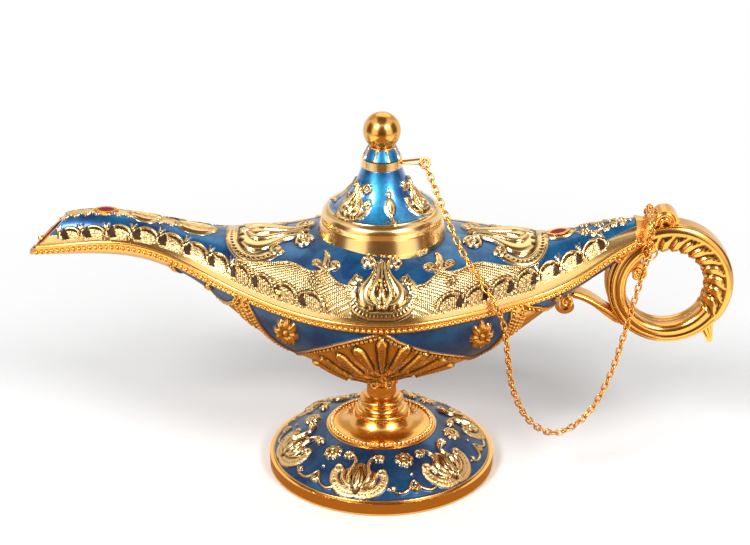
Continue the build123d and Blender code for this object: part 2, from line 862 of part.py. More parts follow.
# The strap that braces the handle against the bowl and ends in a scroll
strap_points = [
    (ring_x + ring_radius * across, ring_z + ring_radius * up) for across, up in strap_shares
]
with BuildPart() as strap:
    with BuildSketch(Plane.XZ):
        with BuildLine() as strap_line:
            Spline(*strap_points, tangents=[(-1, 0.45), (-1, 0.22)])
        trace(line_width=strap_thickness)
        with BuildLine():
            wind(strap_points[-1], strap_line.line % 1, scroll_radius, strap_scroll_shares)
        trace(line_width=scroll_thickness)
    extrude(amount=strap_width / 2, both=True)
    add(handle.part, mode=Mode.SUBTRACT)
    add(outer, mode=Mode.SUBTRACT)
    add(rim.part, mode=Mode.SUBTRACT)
write(strap, "handle_strap")

# The chain: flat-faced links on edge and flat in turn, between two jump rings, and a loop of
# the same links round the root of the handle
def link_outline(length, width):
    """The eight corners of a link's outline, rounded at both ends."""
    end, side, straight, blunt = length / 2, width / 2, length / 2 - width / 4, width / 4
    corners = [(end, blunt), (straight, side), (-straight, side), (-end, blunt)]
    return corners + [(x, -y) for x, y in reversed(corners)]


link_hole = (link_length - 2 * link_wire, link_width - 2 * link_wire)
with BuildPart() as link:
    with BuildSketch():
        with BuildLine():
            Polyline(*link_outline(link_length, link_width), close=True)
        make_face()
        with BuildLine():
            Polyline(*link_outline(*link_hole), close=True)
        make_face(mode=Mode.SUBTRACT)
    extrude(amount=link_wire / 2, both=True)


def link_place(path, distance, quarter_turns):
    """The place of a link or ring at this distance along a path."""
    along = path.tangent_at(distance, PositionMode.LENGTH)
    across = Vector(0, 1, 0)
    side = (across - along * across.dot(along)).normalized()
    side = side.rotate(Axis((0, 0, 0), along), 90 * quarter_turns)
    spot = path.position_at(distance, PositionMode.LENGTH)
    return Plane(origin=spot, x_dir=along, z_dir=side).location


def links_along(path, first, last, count):
    """Places at even steps between two distances, each a quarter turn on from the one before."""
    step = (last - first) / (count - 1)
    return [link_place(path, first + number * step, number + 1) for number in range(count)]


pitch = link_length - 2 * link_wire - link_play
hook = (link_length - link_wire) / 2
with BuildLine() as chain_line:
    Spline(*chain_route)
chain_path = chain_line.wires()[0]
jump_at = jump_radius - (eye_wire + jump_wire) / 2 - link_play
first_link = jump_at + jump_radius - (jump_wire + link_wire + link_play) / 2 + hook
last_link = chain_path.length - (jump_wire + link_wire + link_play) / 2 - hook
half_count = ceil((last_link - first_link) / pitch / 2)
with BuildPart() as chain:
    with Locations(*links_along(chain_path, first_link, last_link, 2 * half_count + 1)):
        add(link.part)
write(chain, "chain")
print("chain", round(chain_path.length, 1), "mm,", 2 * half_count + 1, "links at",
      round((last_link - first_link) / 2 / half_count, 3), "mm, at most", round(pitch, 3))

with BuildPart() as chain_ring_lid:
    with Locations(link_place(chain_path, jump_at, 0)):
        Torus(jump_radius, jump_wire / 2)
write(chain_ring_lid, "chain_ring_lid")

loop_plane = Plane(origin=(loop_x, 0, loop_z), x_dir=(0, 1, 0),
                   z_dir=(cos(radians(loop_lean)), 0, -sin(radians(loop_lean))))
with BuildLine(loop_plane) as loop_line:
    EllipticalCenterArc((0, 0), loop_half_width, loop_half_height, 0, arc_size=360)
loop_path = loop_line.wires()[0]
loop_count = 2 * ceil(loop_path.length / pitch / 2)
with BuildPart() as chain_loop:
    with Locations(*[
        link_place(loop_path, (number + 0.5) * loop_path.length / loop_count, number)
        for number in range(loop_count)
    ]):
        add(link.part)
write(chain_loop, "chain_loop")

# The ring that joins the chain's last link to the loop, standing across the loop's links
chain_end = chain_path @ 1
loop_spot = loop_path.position_at(hanger_share, PositionMode.PARAMETER)
inward = (loop_spot - chain_end).normalized()
loop_way = loop_path.tangent_at(hanger_share, PositionMode.PARAMETER)
hanger_normal = (loop_way - inward * loop_way.dot(inward)).normalized()
with BuildPart() as chain_ring_handle:
    with Locations(Plane(origin=chain_end + inward * hanger_radius, x_dir=inward,
                         z_dir=hanger_normal).location):
        Torus(hanger_radius, jump_wire / 2)
write(chain_ring_handle, "chain_ring_handle")
print("loop", round(loop_path.length, 1), "mm,", loop_count, "links at",
      round(loop_path.length / loop_count, 3), "mm")
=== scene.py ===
import math

import bmesh
import bpy
import numpy as np
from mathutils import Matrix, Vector
from mathutils.bvhtree import BVHTree


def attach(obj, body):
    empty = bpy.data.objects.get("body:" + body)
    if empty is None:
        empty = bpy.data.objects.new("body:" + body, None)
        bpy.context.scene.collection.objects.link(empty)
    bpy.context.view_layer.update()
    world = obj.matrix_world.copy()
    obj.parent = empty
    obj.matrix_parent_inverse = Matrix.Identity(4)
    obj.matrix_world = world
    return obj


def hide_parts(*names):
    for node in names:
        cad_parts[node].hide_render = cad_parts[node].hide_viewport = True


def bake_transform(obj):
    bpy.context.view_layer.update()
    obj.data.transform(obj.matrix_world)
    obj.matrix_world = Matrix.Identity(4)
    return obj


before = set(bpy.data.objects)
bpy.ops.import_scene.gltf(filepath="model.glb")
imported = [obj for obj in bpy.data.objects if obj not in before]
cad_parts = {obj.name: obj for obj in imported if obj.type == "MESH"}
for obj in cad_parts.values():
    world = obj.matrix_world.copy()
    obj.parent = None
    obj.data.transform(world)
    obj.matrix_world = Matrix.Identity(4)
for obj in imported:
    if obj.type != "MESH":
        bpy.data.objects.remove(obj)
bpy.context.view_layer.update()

# Genie oil lamp. Shapes are worked out in millimetres, as in the CAD part, and turned into
# metres where a mesh or the camera is made. Lamps, cards, floor and chain route are in metres.
mm = 0.001

# The photograph's frame and the camera's place
photo_width = 750
camera_focus = 1960
camera_place = (-2.1, -560.0, 317.9)
camera_aim = (-2.1, 0.0, 66.46)
sensor_width = 36.0

# The bowl's reach and half width, and the slant and the lower lip of its mouth, after the CAD part
reach = 109.8
widest_beam = 34.0
mouth_slant = 12.6
mouth_height = 12.9
lip_height = 73.2

# The places along X where the bowl is measured
station_step = 7.5
station_first = -105.0
station_last = 78.5
# The rays that measure the CAD part: how far out they start, and how many degrees the slanted
# ones slope on the bowl and beyond spout_end_x
ray_start = 40
slanted_ray_start = 70
ray_slope, spout_ray_slope = 38, 20
spout_end_x = -98
# The search for the seam's edge, from outside inwards, and how far inside it the height is read
edge_search_from, edge_search_step = 50.0, 0.5
edge_search_halvings = 12
edge_inset = 0.3

# From this X towards the spout's end the relief's columns lean, to end on the slanted mouth
mouth_pivot = -84.0

# The relief on the bowl
grid_step = 0.31
enamel_lift = 0.10
gold_lift = 0.42
lowest_lift = 0.06
skin_depth = 0.6
skin_inner_rows = 8
strip_top = 2.6
# The shade in hollows: how many cells round it looks, with the depth of full shade, and its strength
shade_reaches = ((2, 0.20), (6, 0.5))
shade_strength = 0.75
# The arches' feet, as distances along the seam from the middle and up from it, and their heights
arch_feet_spout = [(17.8, 4.3), (26.8, 4.5), (35.4, 4.9), (43.8, 5.0), (52.1, 5.0), (60.3, 4.9),
                   (69.0, 4.4), (76.9, 3.8), (84.4, 3.3), (91.6, 3.1), (99.0, 3.2), (106.0, 3.2)]
arch_feet_tail = [(16.8, 4.2), (25.8, 4.4), (34.6, 4.9), (43.5, 5.2), (52.3, 5.6), (61.2, 5.6),
                  (70.3, 5.0), (79.1, 4.4)]
arch_heights_spout = [4.0, 4.0, 4.0, 4.1, 4.1, 3.9, 3.5, 3.1, 2.9, 2.6, 2.6]
arch_heights_tail = [4.0, 4.1, 4.2, 4.3, 4.3, 4.1, 3.6]


def run_along(points):
    """How far along a line each of its points is."""
    return np.concatenate([[0], np.cumsum(np.linalg.norm(np.diff(points, axis=0), axis=1))])


def unit(ways):
    """The same directions with length 1."""
    return ways / np.linalg.norm(ways, axis=-1, keepdims=True)


def placed(name, data):
    """A new object in the scene."""
    thing = bpy.data.objects.new(name, data)
    bpy.context.scene.collection.objects.link(thing)
    return thing


def turn_to(thing, aim):
    """Turns a camera, a lamp or a card to face a place, in metres."""
    thing.rotation_mode = "QUATERNION"
    thing.rotation_quaternion = (Vector(aim) - thing.location).to_track_quat("-Z", "Y")


def spline(xs, ys):
    """A natural cubic spline through the points, as a function of an array."""
    xs, ys = np.asarray(xs, float), np.asarray(ys, float)
    gap, count = np.diff(xs), len(xs)
    rise = np.diff(ys) / gap
    system, right = np.eye(count), np.zeros(count)
    for k in range(1, count - 1):
        system[k, k - 1:k + 2] = gap[k - 1], 2 * (gap[k - 1] + gap[k]), gap[k]
        right[k] = 6 * (rise[k] - rise[k - 1])
    bend = np.linalg.solve(system, right)

    def value(x):
        k = np.clip(np.searchsorted(xs, x) - 1, 0, count - 2)
        h, a, b = gap[k], xs[k + 1] - x, x - xs[k]
        return (bend[k] * a**3 + bend[k + 1] * b**3) / (6 * h) + (
            ys[k] / h - bend[k] * h / 6) * a + (ys[k + 1] / h - bend[k + 1] * h / 6) * b

    return value


def tree_of(*names):
    """A search tree of the faces of some CAD nodes."""
    places, faces = [], []
    for name in names:
        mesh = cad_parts[name].data
        first = len(places)
        places += [v.co.copy() for v in mesh.vertices]
        faces += [[first + k for k in face.vertices] for face in mesh.polygons]
    return BVHTree.FromPolygons(places, faces)


def hit(tree, start, way):
    """Where a ray first meets the tree, in millimetres, or None."""
    found = tree.ray_cast(Vector(start) * mm, Vector(way))[0]
    return None if found is None else np.array(found) / mm


def edge_of(tree, x):
    """The half width and the height of the seam at x, from rays up at the upper shell's rim."""
    high = edge_search_from
    while high > edge_search_step and hit(tree, (x, -high, 0), (0, 0, 1)) is None:
        high -= edge_search_step
    low, high = high, high + edge_search_step
    for _ in range(edge_search_halvings):
        middle = (low + high) / 2
        if hit(tree, (x, -middle, 0), (0, 0, 1)) is None:
            high = middle
        else:
            low = middle
    return low, hit(tree, (x, -low + edge_inset, 0), (0, 0, 1))[2]


def half_height(tree, x, beam, seam, angle):
    """The height of the half ellipse above or below the seam at x, from one slanted ray."""
    way = np.array([0, math.cos(angle), -math.sin(angle)])
    start = np.array([x, 0, seam]) - slanted_ray_start * way
    place = hit(tree, start, way)
    return abs(place[2] - seam) / math.sqrt(1 - (place[1] / beam) ** 2)


def measure_bowl():
    """The lines of the bowl's outside along X: half beam, seam, crown and depth."""
    upper = tree_of("bowl_upper", "deck_enamel")
    lower = tree_of("bowl_lower", "hull_enamel_spout", "hull_enamel_tail")
    shell = tree_of("bowl_upper")
    count = round((station_last - station_first) / station_step) + 1
    xs = np.linspace(station_first, station_last, count)
    rows = []
    for x in xs:
        beam, seam = edge_of(shell, x)
        steep = math.radians(spout_ray_slope if x < spout_end_x else ray_slope)
        rows.append((beam, seam, half_height(upper, x, beam, seam, steep),
                     half_height(lower, x, beam, seam, -math.radians(ray_slope))))
    return [spline(xs, column) for column in zip(*rows)]


beam_at, seam_at, crown_at, depth_at = measure_bowl()


def bowl_grid(upper, step):
    """The front half of the bowl's outside above or below the seam.

    Rows go up or down from the seam and columns along X. The ornament is drawn in two pairs of
    coordinates: u and t along the seam and away from it, trail and ridge along the middle line
    and away from it.
    """
    first, last = -reach, station_last
    columns = int((last - first) / step)
    x = np.linspace(first, last, columns)
    fine = np.linspace(first, last, 4 * columns)
    run = run_along(np.stack([fine, beam_at(fine), seam_at(fine)], -1))
    run -= np.interp(0, fine, run)
    sine = np.gradient(seam_at(fine), run)
    high_at, sign = (crown_at, 1) if upper else (depth_at, -1)
    ridge = seam_at(fine) + sign * high_at(fine)
    trail = run_along(np.stack([fine, ridge], -1))
    trail -= np.interp(0, fine, trail)
    turn = np.linspace(0, math.pi / 2, 400)
    longest = np.hypot(np.diff(widest_beam * np.cos(turn)),
                       np.diff(high_at(np.array(0.0)) * np.sin(turn))).sum()
    share = np.linspace(0, 1, int(longest / step))[:, None]
    angle = share * math.pi / 2
    for _ in range(3):
        xs = meet_mouth(x, angle, high_at, sign)
        angle = even_angle(xs, share, high_at)
    beam, seam, high = beam_at(xs), seam_at(xs), high_at(xs)
    y, z = -beam * np.cos(angle), sign * high * np.sin(angle)
    points = np.stack([xs, y, seam + z], -1)
    small = 0.01
    slope = [(f(xs + small) - f(xs - small)) / (2 * small) for f in (beam_at, seam_at, high_at)]
    across = y / beam**2
    upward = z / high**2
    along = -(y**2 * slope[0] / beam**3 + z * slope[1] / high**2 + z**2 * slope[2] / high**3)
    normals = unit(np.stack([along, across, upward], -1))
    arc, half = arc_lengths(xs, angle, high_at)
    lean = np.interp(xs, fine, sine)
    u = np.interp(xs, fine, run) + sign * arc * lean
    t = arc * np.sqrt(1 - lean**2)
    return Relief(points, normals, u=u, t=t, ridge=half - arc, trail=np.interp(xs, fine, trail))


def meet_mouth(x, angle, high_at, sign):
    """The columns' X, drawn back near the spout's end so that the first lies on the slanted mouth."""
    start = np.full(angle.shape[:1] + (1,), -reach)
    row = angle[:, :1]
    for _ in range(20):
        z = seam_at(start) + sign * high_at(start) * np.sin(row)
        start = start + 0.5 * (-reach + (z - lip_height) * mouth_slant / mouth_height - start)
        start = np.maximum(start, -reach)
    share = np.clip((mouth_pivot - x) / (mouth_pivot + reach), 0, 1)[None, :]
    return np.where(share > 0, mouth_pivot - share * (mouth_pivot - start), x[None, :])


def section(xs, high_at, steps=48):
    """The arc length to each of some even angles of the quarter ellipse, for each column's middle row."""
    turn = np.linspace(0, math.pi / 2, steps)
    wide, high = beam_at(xs), high_at(xs)
    ys = wide[..., None] * np.cos(turn)
    zs = high[..., None] * np.sin(turn)
    steps_long = np.hypot(np.diff(ys, axis=-1), np.diff(zs, axis=-1))
    return turn, np.concatenate([np.zeros(wide.shape + (1,)), np.cumsum(steps_long, -1)], -1)


def even_angle(xs, share, high_at):
    """The angles that divide each column's quarter ellipse evenly by length."""
    turn, arcs = section(xs[xs.shape[0] // 2], high_at)
    out = np.empty(xs.shape)
    for k in range(xs.shape[1]):
        out[:, k] = np.interp(share[:, 0] * arcs[k, -1], arcs[k], turn)
    return out


def arc_lengths(xs, angle, high_at):
    """The arc length from the seam to each point, and to the ridge, in its own section."""
    turn, arcs = section(xs[xs.shape[0] // 2], high_at)
    arc = np.empty(xs.shape)
    for k in range(xs.shape[1]):
        arc[:, k] = np.interp(angle[:, k], turn, arcs[k])
    return arc, np.repeat(arcs[None, :, -1], xs.shape[0], 0)


class Relief:
    """A grid of points on a surface, with the height, gold and shade of what is raised on it."""

    def __init__(self, points, normals, **coordinates):
        self.points, self.normals, self.at, self.round = points, normals, coordinates, False
        shape = points.shape[:2]
        self.height = np.full(shape, enamel_lift)
        self.gold, self.dark, self.grain, self.hatch = (np.zeros(shape) for _ in range(4))

    def patch(self, a, b, reach_a, reach_b):
        """The part of the grid whose flat coordinates a and b lie in these ranges."""
        inside = (a > reach_a[0]) & (a < reach_a[1]) & (b > reach_b[0]) & (b < reach_b[1])
        return Patch(self, np.nonzero(inside), a[inside], b[inside])

    def outer(self):
        """The points with their relief."""
        return self.points + self.normals * self.height[..., None]

    def settle(self):
        """Darkens the hollows of the relief, as the shade that gathers in them."""
        for reach_cells, depth in shade_reaches:
            hollow = blurred(self.height, reach_cells, self.round) - self.height
            self.dark = np.maximum(self.dark, np.clip(hollow / depth, 0, 1) * shade_strength)


class Patch:
    """Some points of a relief in flat coordinates: a is up and b is across, in millimetres."""

    def __init__(self, relief, index, a, b):
        self.relief, self.index, self.a, self.b = relief, index, a, b

    def lift(self, cover, rise=0.0):
        """Gold with this cover, from 0 to 1, raised by rise over the flat gold."""
        relief, index = self.relief, self.index
        level = enamel_lift + cover * (gold_lift - enamel_lift + rise)
        relief.height[index] = np.maximum(relief.height[index], level)
        relief.gold[index] = np.maximum(relief.gold[index], cover)

    def sink(self, cover, depth, shade=1.0):
        """A pit of this depth, with painted shade in it that darkens the gold."""
        relief, index = self.relief, self.index
        relief.height[index] = np.maximum(relief.height[index] - depth * cover, lowest_lift)
        relief.dark[index] = np.maximum(relief.dark[index], cover * shade)

    def enamel(self, cover):
        """Enamel again where cover is 1."""
        relief, index = self.relief, self.index
        relief.gold[index] *= 1 - cover
        relief.height[index] += (enamel_lift - relief.height[index]) * cover

    def roughen(self, cover):
        """Grain in the gold with this cover."""
        relief, index = self.relief, self.index
        relief.grain[index] = np.maximum(relief.grain[index], cover)

    def roll(self, far, wide, rise, where=1):
        """Rounded gold of this half width about what far is the distance to."""
        self.lift(soft(wide - far) * where, rise * round_top(far / wide))

    def stroke(self, points, width, ends):
        """The distance to a line, and its half width, which ends spreads from first to last as shares."""
        far, along = distance_to(self.a, self.b, points)
        return far, width if ends is None else width * np.interp(along, np.linspace(0, 1, len(ends)), ends)

    def wire(self, points, width, rise, ends=None):
        """A rounded wire of gold along some points."""
        far, wide = self.stroke(points, width, ends)
        self.roll(far, wide, rise)

    def groove(self, points, width, depth, shade=1.0, ends=None):
        """A groove along some points, dark with painted shade."""
        far, wide = self.stroke(points, width, ends)
        self.sink(soft(wide - far, 0.25), depth, shade)

    def ball(self, a, b, radius, rise):
        """A round bead of gold."""
        self.roll(np.hypot(self.a - a, self.b - b), radius, rise)

    def pit(self, a, b, radius, depth, shade=1.0):
        """A round pit, with painted shade in it."""
        far = np.hypot(self.a - a, self.b - b)
        self.sink(soft(radius - far), depth, shade)


def blurred(grid, reach_cells, closed):
    """The grid's mean over a square of cells round each cell."""
    for axis in (0, 1):
        mode = "wrap" if closed and axis else "edge"
        pad = [(reach_cells + 1, reach_cells) if k == axis else (0, 0) for k in (0, 1)]
        total = np.cumsum(np.pad(grid, pad, mode=mode), axis)
        width = 2 * reach_cells + 1
        if axis:
            grid = (total[:, width:] - total[:, :-width]) / width
        else:
            grid = (total[width:] - total[:-width]) / width
    return grid


def soft(inside, edge=0.16):
    """1 where inside is positive and 0 where it is negative, with a narrow slope between."""
    return np.clip(inside / edge + 0.5, 0, 1)


def round_top(share):
    """A round profile, 1 in the middle and 0 from where share is 1."""
    return np.sqrt(np.clip(1 - share**2, 0, 1))


def distance_to(a, b, points):
    """The distance to a broken line, and how far along it the nearest place is, from 0 to 1."""
    points = np.asarray(points, float)
    before = run_along(points)
    gaps = np.diff(before)
    best, along = np.full(a.shape, 1e9), np.zeros(a.shape)
    for k, gap in enumerate(gaps):
        way = (points[k + 1] - points[k]) / max(gap, 1e-9)
        da, db = a - points[k, 0], b - points[k, 1]
        run = np.clip(da * way[0] + db * way[1], 0, gap)
        far = np.hypot(da - run * way[0], db - run * way[1])
        closer = far < best
        best[closer] = far[closer]
        along[closer] = ((before[k] + run) / before[-1])[closer]
    return best, along


def smooth(points, steps=5):
    """A smooth line through some points, as a finer broken line."""
    points = np.asarray(points, float)
    knots = np.arange(len(points))
    fine = np.linspace(0, len(points) - 1, (len(points) - 1) * steps + 1)
    return np.stack([spline(knots, column)(fine) for column in points.T], -1)


def spiral(a, b, radius, start, turn, inner=0.25, steps=22):
    """A volute round (a, b), from the start angle in degrees inwards through a turn in degrees."""
    angle = np.radians(start + np.linspace(0, turn, steps))
    far = radius * (1 - (1 - inner) * np.linspace(0, 1, steps))
    return np.stack([a + far * np.sin(angle), b + far * np.cos(angle)], -1)


# The heights at which palmette, flame and lily are drawn, and the number of beads on a border
palmette_drawn, palmette_beads = 20.3, 17
flame_drawn, flame_beads = 16.0, 15
fleur_drawn = 9.6


def palmette(patch, size, wide=1.0):
    """A palmette that stands on its round end at a = 0 and points along a, with this height."""
    scale = size / palmette_drawn
    a, b = patch.a / scale, np.abs(patch.b) / scale / wide
    half = Patch(patch.relief, patch.index, a, b)
    field = smooth([(1.8, -0.4), (2.0, 3.4), (3.0, 6.6), (5.4, 8.3), (8.0, 8.3), (10.4, 6.2), (14.0, 3.2),
                    (17.5, 2.4), (19.0, 2.0), (18.6, -0.4)])
    half.lift(soft(inside_of(a, b, field), 0.3), -0.05)
    border = smooth([(0.9, 0.0), (1.0, 3.5), (2.1, 6.9), (4.2, 9.2), (6.7, 10.1), (9.0, 9.8), (10.8, 8.7),
                     (11.7, 7.4)])
    far, along = distance_to(a, b, border)
    half.lift(soft(1.35 - far), 0.18)
    half.sink(soft(0.22 - np.abs(far - 0.95)), 0.14, 0.35)
    dots = np.abs((along * palmette_beads) % 1 - 0.5) * 1.35
    half.sink(soft(0.34 - np.hypot(far, dots)), 0.22, 0.8)
    half.sink(soft(0.3 - np.abs(far - 1.6)) * (a < 12.5) * (b < 9.4), 0.3, 0.6)
    half.wire(spiral(11.6, 7.3, 1.7, 60, -400, 0.4), 0.42, 0.6)
    half.ball(11.6, 7.3, 0.7, 0.6)
    half.wire(smooth([(3.6, 1.0), (4.0, 3.6), (5.7, 5.6), (8.4, 5.7), (11.2, 4.0), (13.8, 2.6), (16.2, 2.0),
                      (18.0, 2.7)]), 1.75, 0.95, (0.5, 0.95, 1.0, 0.95, 0.75, 0.5, 0.4, 0.3))
    half.wire(smooth([(4.6, 0.8), (6.0, 2.3), (8.2, 2.8), (10.8, 2.0), (13.6, 1.2), (17.6, 0.9)]), 0.95, 1.15,
              (0.6, 1.0, 1.0, 0.75, 0.5, 0.4))
    half.wire([(9.5, 0), (18.6, 0)], 0.4, 0.95)
    core = np.hypot((a - 7.4) / 2.9, b / np.interp(a, [4.5, 6.5, 10.3], [1.5, 1.7, 0.35]))
    half.lift(soft(1 - core, 0.1), 1.3 * round_top(core))
    half.wire(spiral(18.0, 4.9, 2.0, -150, 380, 0.42), 0.42, 0.75)
    half.ball(17.9, 4.9, 0.75, 0.7)
    half.wire(smooth([(15.8, 2.1), (17.6, 2.3), (19.4, 3.2), (20.0, 4.6)]), 0.55, 0.8)
    half.pit(3.2, 2.2, 0.7, 0.3, 0.9)
    half.pit(3.3, 4.4, 0.6, 0.3, 0.9)


def flame(patch, size):
    """A palmette with a flame between two curling arms, over a grained crescent."""
    scale = size / flame_drawn
    half = Patch(patch.relief, patch.index, patch.a / scale, np.abs(patch.b) / scale)
    a, b = half.a, half.b
    border = smooth([(1.1, 0.0), (1.0, 3.0), (2.0, 6.0), (4.4, 8.1), (7.4, 8.3), (9.2, 7.0)])
    half.wire(border, 1.7, 0.1, (0.8, 1.0, 1.1, 1.0, 0.75, 0.4))
    far, along = distance_to(a, b, border)
    dots = np.abs(along * flame_beads % 1 - 0.5) * 1.2
    half.sink(soft(0.3 - np.hypot(far, dots)), 0.25, 0.8)
    half.roughen(soft(1.5 - far))
    half.wire(spiral(8.6, 6.9, 1.5, -30, 380, 0.35), 0.42, 0.5)
    field = smooth([(2.6, -0.5), (2.7, 3.6), (4.8, 6.1), (8.0, 5.9), (10.0, 3.4), (12.0, 0.9), (12.0, -0.5)])
    half.lift(soft(inside_of(a, b, field), 0.3), 0.0)
    for line, wide in (([(3.0, 0.8), (3.6, 3.0), (5.4, 5.0), (8.2, 5.2)], 1.0),
                       ([(3.4, 1.2), (4.6, 2.6), (6.6, 3.8)], 0.8)):
        half.wire(smooth(line), wide, 0.8, (0.5, 1.0, 1.0, 0.5))
    half.wire(smooth([(3.4, 0.6), (6.0, 2.9), (8.6, 3.1), (11.2, 2.3), (13.4, 2.5), (15.2, 3.9)]), 0.72, 1.0,
              (0.6, 1.0, 1.0, 0.8, 0.7, 0.6))
    half.wire(spiral(14.2, 5.0, 1.5, -30, 360, 0.4), 0.45, 0.8)
    half.ball(14.1, 4.9, 0.7, 0.7)
    core = np.hypot((a - 6.6) / 4.8, b / np.interp(a, [3.0, 6.2, 11.4], [1.6, 2.1, 0.3]))
    half.lift(soft(1 - core, 0.1), 1.3 * round_top(core))
    half.groove([(4.0, 0.75), (6.4, 0.95), (10.2, 0.1)], 0.24, 0.4, 0.9)
    half.sink(soft(0.25 - np.abs(core - 1.08) * 2) * (a < 11), 0.4, 0.9)


def closed_line(outline):
    """An outline with its first point again at the end."""
    return np.vstack([outline, outline[:1]])


def inside_of(a, b, outline):
    """The distance inside a closed outline, negative outside."""
    far, _ = distance_to(a, b, closed_line(outline))
    inside = np.zeros(a.shape, bool)
    previous = outline[-1]
    for point in outline:
        crosses = (point[0] > a) != (previous[0] > a)
        rise = np.where(abs(previous[0] - point[0]) < 1e-9, 1e-9, previous[0] - point[0])
        inside ^= crosses & (b < (previous[1] - point[1]) * (a - point[0]) / rise + point[1])
        previous = point
    return np.where(inside, far, -far)


# The random specks in the arches, drawn arch by arch
speckle = np.random.default_rng(7)


def scallop(patch, width, height):
    """One arch of the border over a = 0, from b = -width / 2 to width / 2."""
    a, b = patch.a, patch.b
    p, q = b / (width / 2), a / height
    away = np.hypot(p, np.maximum(q, 0))
    size = (width / 2 + height) / 2
    patch.lift(soft((1.06 - away) * size), 0.0)
    line = np.abs(away - 0.97) * size
    upper = soft(a + 0.3, 0.3)
    patch.roll(line, 0.45, 0.5, upper)
    # A crescent groove under the arch's top, dark with painted shade
    angle = np.arctan2(np.maximum(q, 0), p)
    thick = 0.42 * np.clip(np.sin((angle - 0.35) / 1.9 * math.pi), 0, 1) * (angle > 0.35) * (angle < 2.25)
    groove = np.abs(away - 0.76) * size
    patch.sink(soft(thick - groove), 0.3, 0.95)
    patch.ball(0.2, -width / 2 + 0.5, 0.95, 0.35)
    patch.wire(spiral(0.35, -width / 2 + 0.75, 1.15, 60, 300, 0.35), 0.26, 0.45)
    # A comma-shaped groove by the left foot, dark with painted shade
    start = -width / 2
    comma = [(1.9, start + 1.5), (0.9, start + 1.45), (0.0, start + 1.8), (-0.5, start + 2.6)]
    patch.groove(comma, 1.15, 0.8, 1.0, (0.6, 1.0, 1.0, 0.3))
    for lean in (-1, 1):
        patch.wire([(height * 0.3, -width / 2), (height * 0.8, -width / 2 + 0.15 * lean),
                    (height * 1.25, -width / 2 + 0.75 * lean)], 0.5, 0.3, (1, 0.8, 0.3))
    for k in range(3):
        patch.ball(height * 0.18 + 0.28 * (k == 1), (k - 1) * 0.62 + 0.35, 0.27, 0.16)
        patch.pit(height * 0.18 - 0.42, (k - 1) * 0.6 + 0.5, 0.14, 0.15, 0.7)
    # A thin groove of painted shade just outside the arch
    patch.sink(soft(0.2 - np.abs((away - 1.12) * size)) * upper * (away > 1.0), 0.08, 0.85)
    patch.roughen(soft((0.68 - away) * size))
    specks = speckle.random(away.shape) > 0.86
    patch.sink(specks * soft((0.66 - away) * size), 0.1, 0.75)
    for lean in (-0.5, 0.1, 0.7):
        scratch = [(0.5, lean * 0.8 + 0.5), (height * 0.62, lean * 1.7 + 0.5)]
        patch.groove(scratch, 0.16, 0.12, 0.5, (0.5, 1.0))


def rosette(patch, radius, petals=8):
    """A flower of round petals about a = b = 0."""
    far = np.hypot(patch.a, patch.b)
    angle = np.arctan2(patch.a, patch.b)
    step = 2 * math.pi / petals
    turned = (angle + step / 2) % step - step / 2
    out = far * np.cos(turned) - radius * 0.62
    side = far * np.sin(turned)
    petal = np.hypot(out / (radius * 0.38), side / (radius * 0.27))
    patch.lift(soft((1.12 - petal) * radius * 0.3), 0.0)
    patch.lift(soft((1 - petal) * radius * 0.3), 0.75 * round_top(petal))
    patch.sink(soft(0.2 - side * np.sign(side)) * soft(radius - far) * soft(far - radius * 0.4), 0.2, 0.5)
    patch.lift(soft(radius * 0.42 - far), 0.05)
    patch.ball(0, 0, radius * 0.24, 0.6)
    patch.sink(soft(0.14 - np.abs(far - radius * 0.33)), 0.15, 0.6)


def fleur(patch, size):
    """A small lily of three leaves that grows up from a = 0."""
    scale = size / fleur_drawn
    lily = Patch(patch.relief, patch.index, patch.a / scale, patch.b / scale)
    lily.wire([(-1.5, 0), (2, 0), (5.0, 0)], 1.9, 0.1, (1.6, 0.75, 0.6))
    lily.wire(smooth([(3.6, 0.0), (6.0, 0.3), (8.0, 0.2), (9.6, -0.5)]), 1.15, 0.5, (0.8, 1.0, 0.8, 0.35))
    for side in (-1, 1):
        lily.ball(4.3, side * 3.1, 1.75, 0.1)
        lily.wire(spiral(4.3, side * 3.0, 1.35, 90 - side * 90, side * 440, 0.25), 0.42, 0.5)
        lily.wire(smooth([(1.8, side * 0.6), (2.6, side * 2.0), (3.2, side * 3.4)]), 0.6, 0.35)
    lily.ball(4.4, 0, 0.7, 0.6)


def leaf(patch, length, width):
    """A pointed leaf along a, centred on a = b = 0, with flutes along it."""
    wide = width / 2 * np.clip(1 - (2 * patch.a / length) ** 2, 0, 1) ** 0.75
    share = np.abs(patch.b) / np.maximum(wide, 0.05)
    near = np.abs(patch.a) < length / 2
    patch.lift(soft(wide + 0.35 - np.abs(patch.b)) * near, 0.05)
    flutes = 0.5 + 0.5 * np.cos(share * math.pi * 3)
    patch.lift(soft(wide - np.abs(patch.b)) * near, (0.25 + 0.35 * flutes) * round_top(share))
    patch.sink(soft(0.16 - np.abs(np.abs(patch.b) - wide - 0.05)) * near, 0.1, 0.4)


def at_feet(feet, side):
    """The arches' feet as points along the seam, on the spout's side or the tail's."""
    return [(side * u, t) for u, t in feet]


# The upper edge of the hatched panel, as distances along the seam and up from it
panel_edge = [(50.5, 9.6), (44.0, 11.6), (38.0, 13.8), (32.5, 16.3), (28.0, 16.4), (24.0, 15.3),
              (20.6, 15.6), (18.6, 16.4), (17.0, 15.2), (14.6, 13.0), (12.0, 12.2), (9.5, 12.2)]
panel_foot = 3.0
# The lilies and the small flowers: along the seam, up from it, and size
fleur_at, fleur_up, fleur_size = 18.4, 14.6, 9.6
rosette_at, rosette_up, rosette_radius = 21.6, 12.0, 1.9
# The front palmette's foot and height, and the ridge's palmettes as way, foot and height
front_palmette = (3.0, 20.3)
ridge_palmettes = ((1, 48.6, 27.0), (-1, 51.5, 26.0))


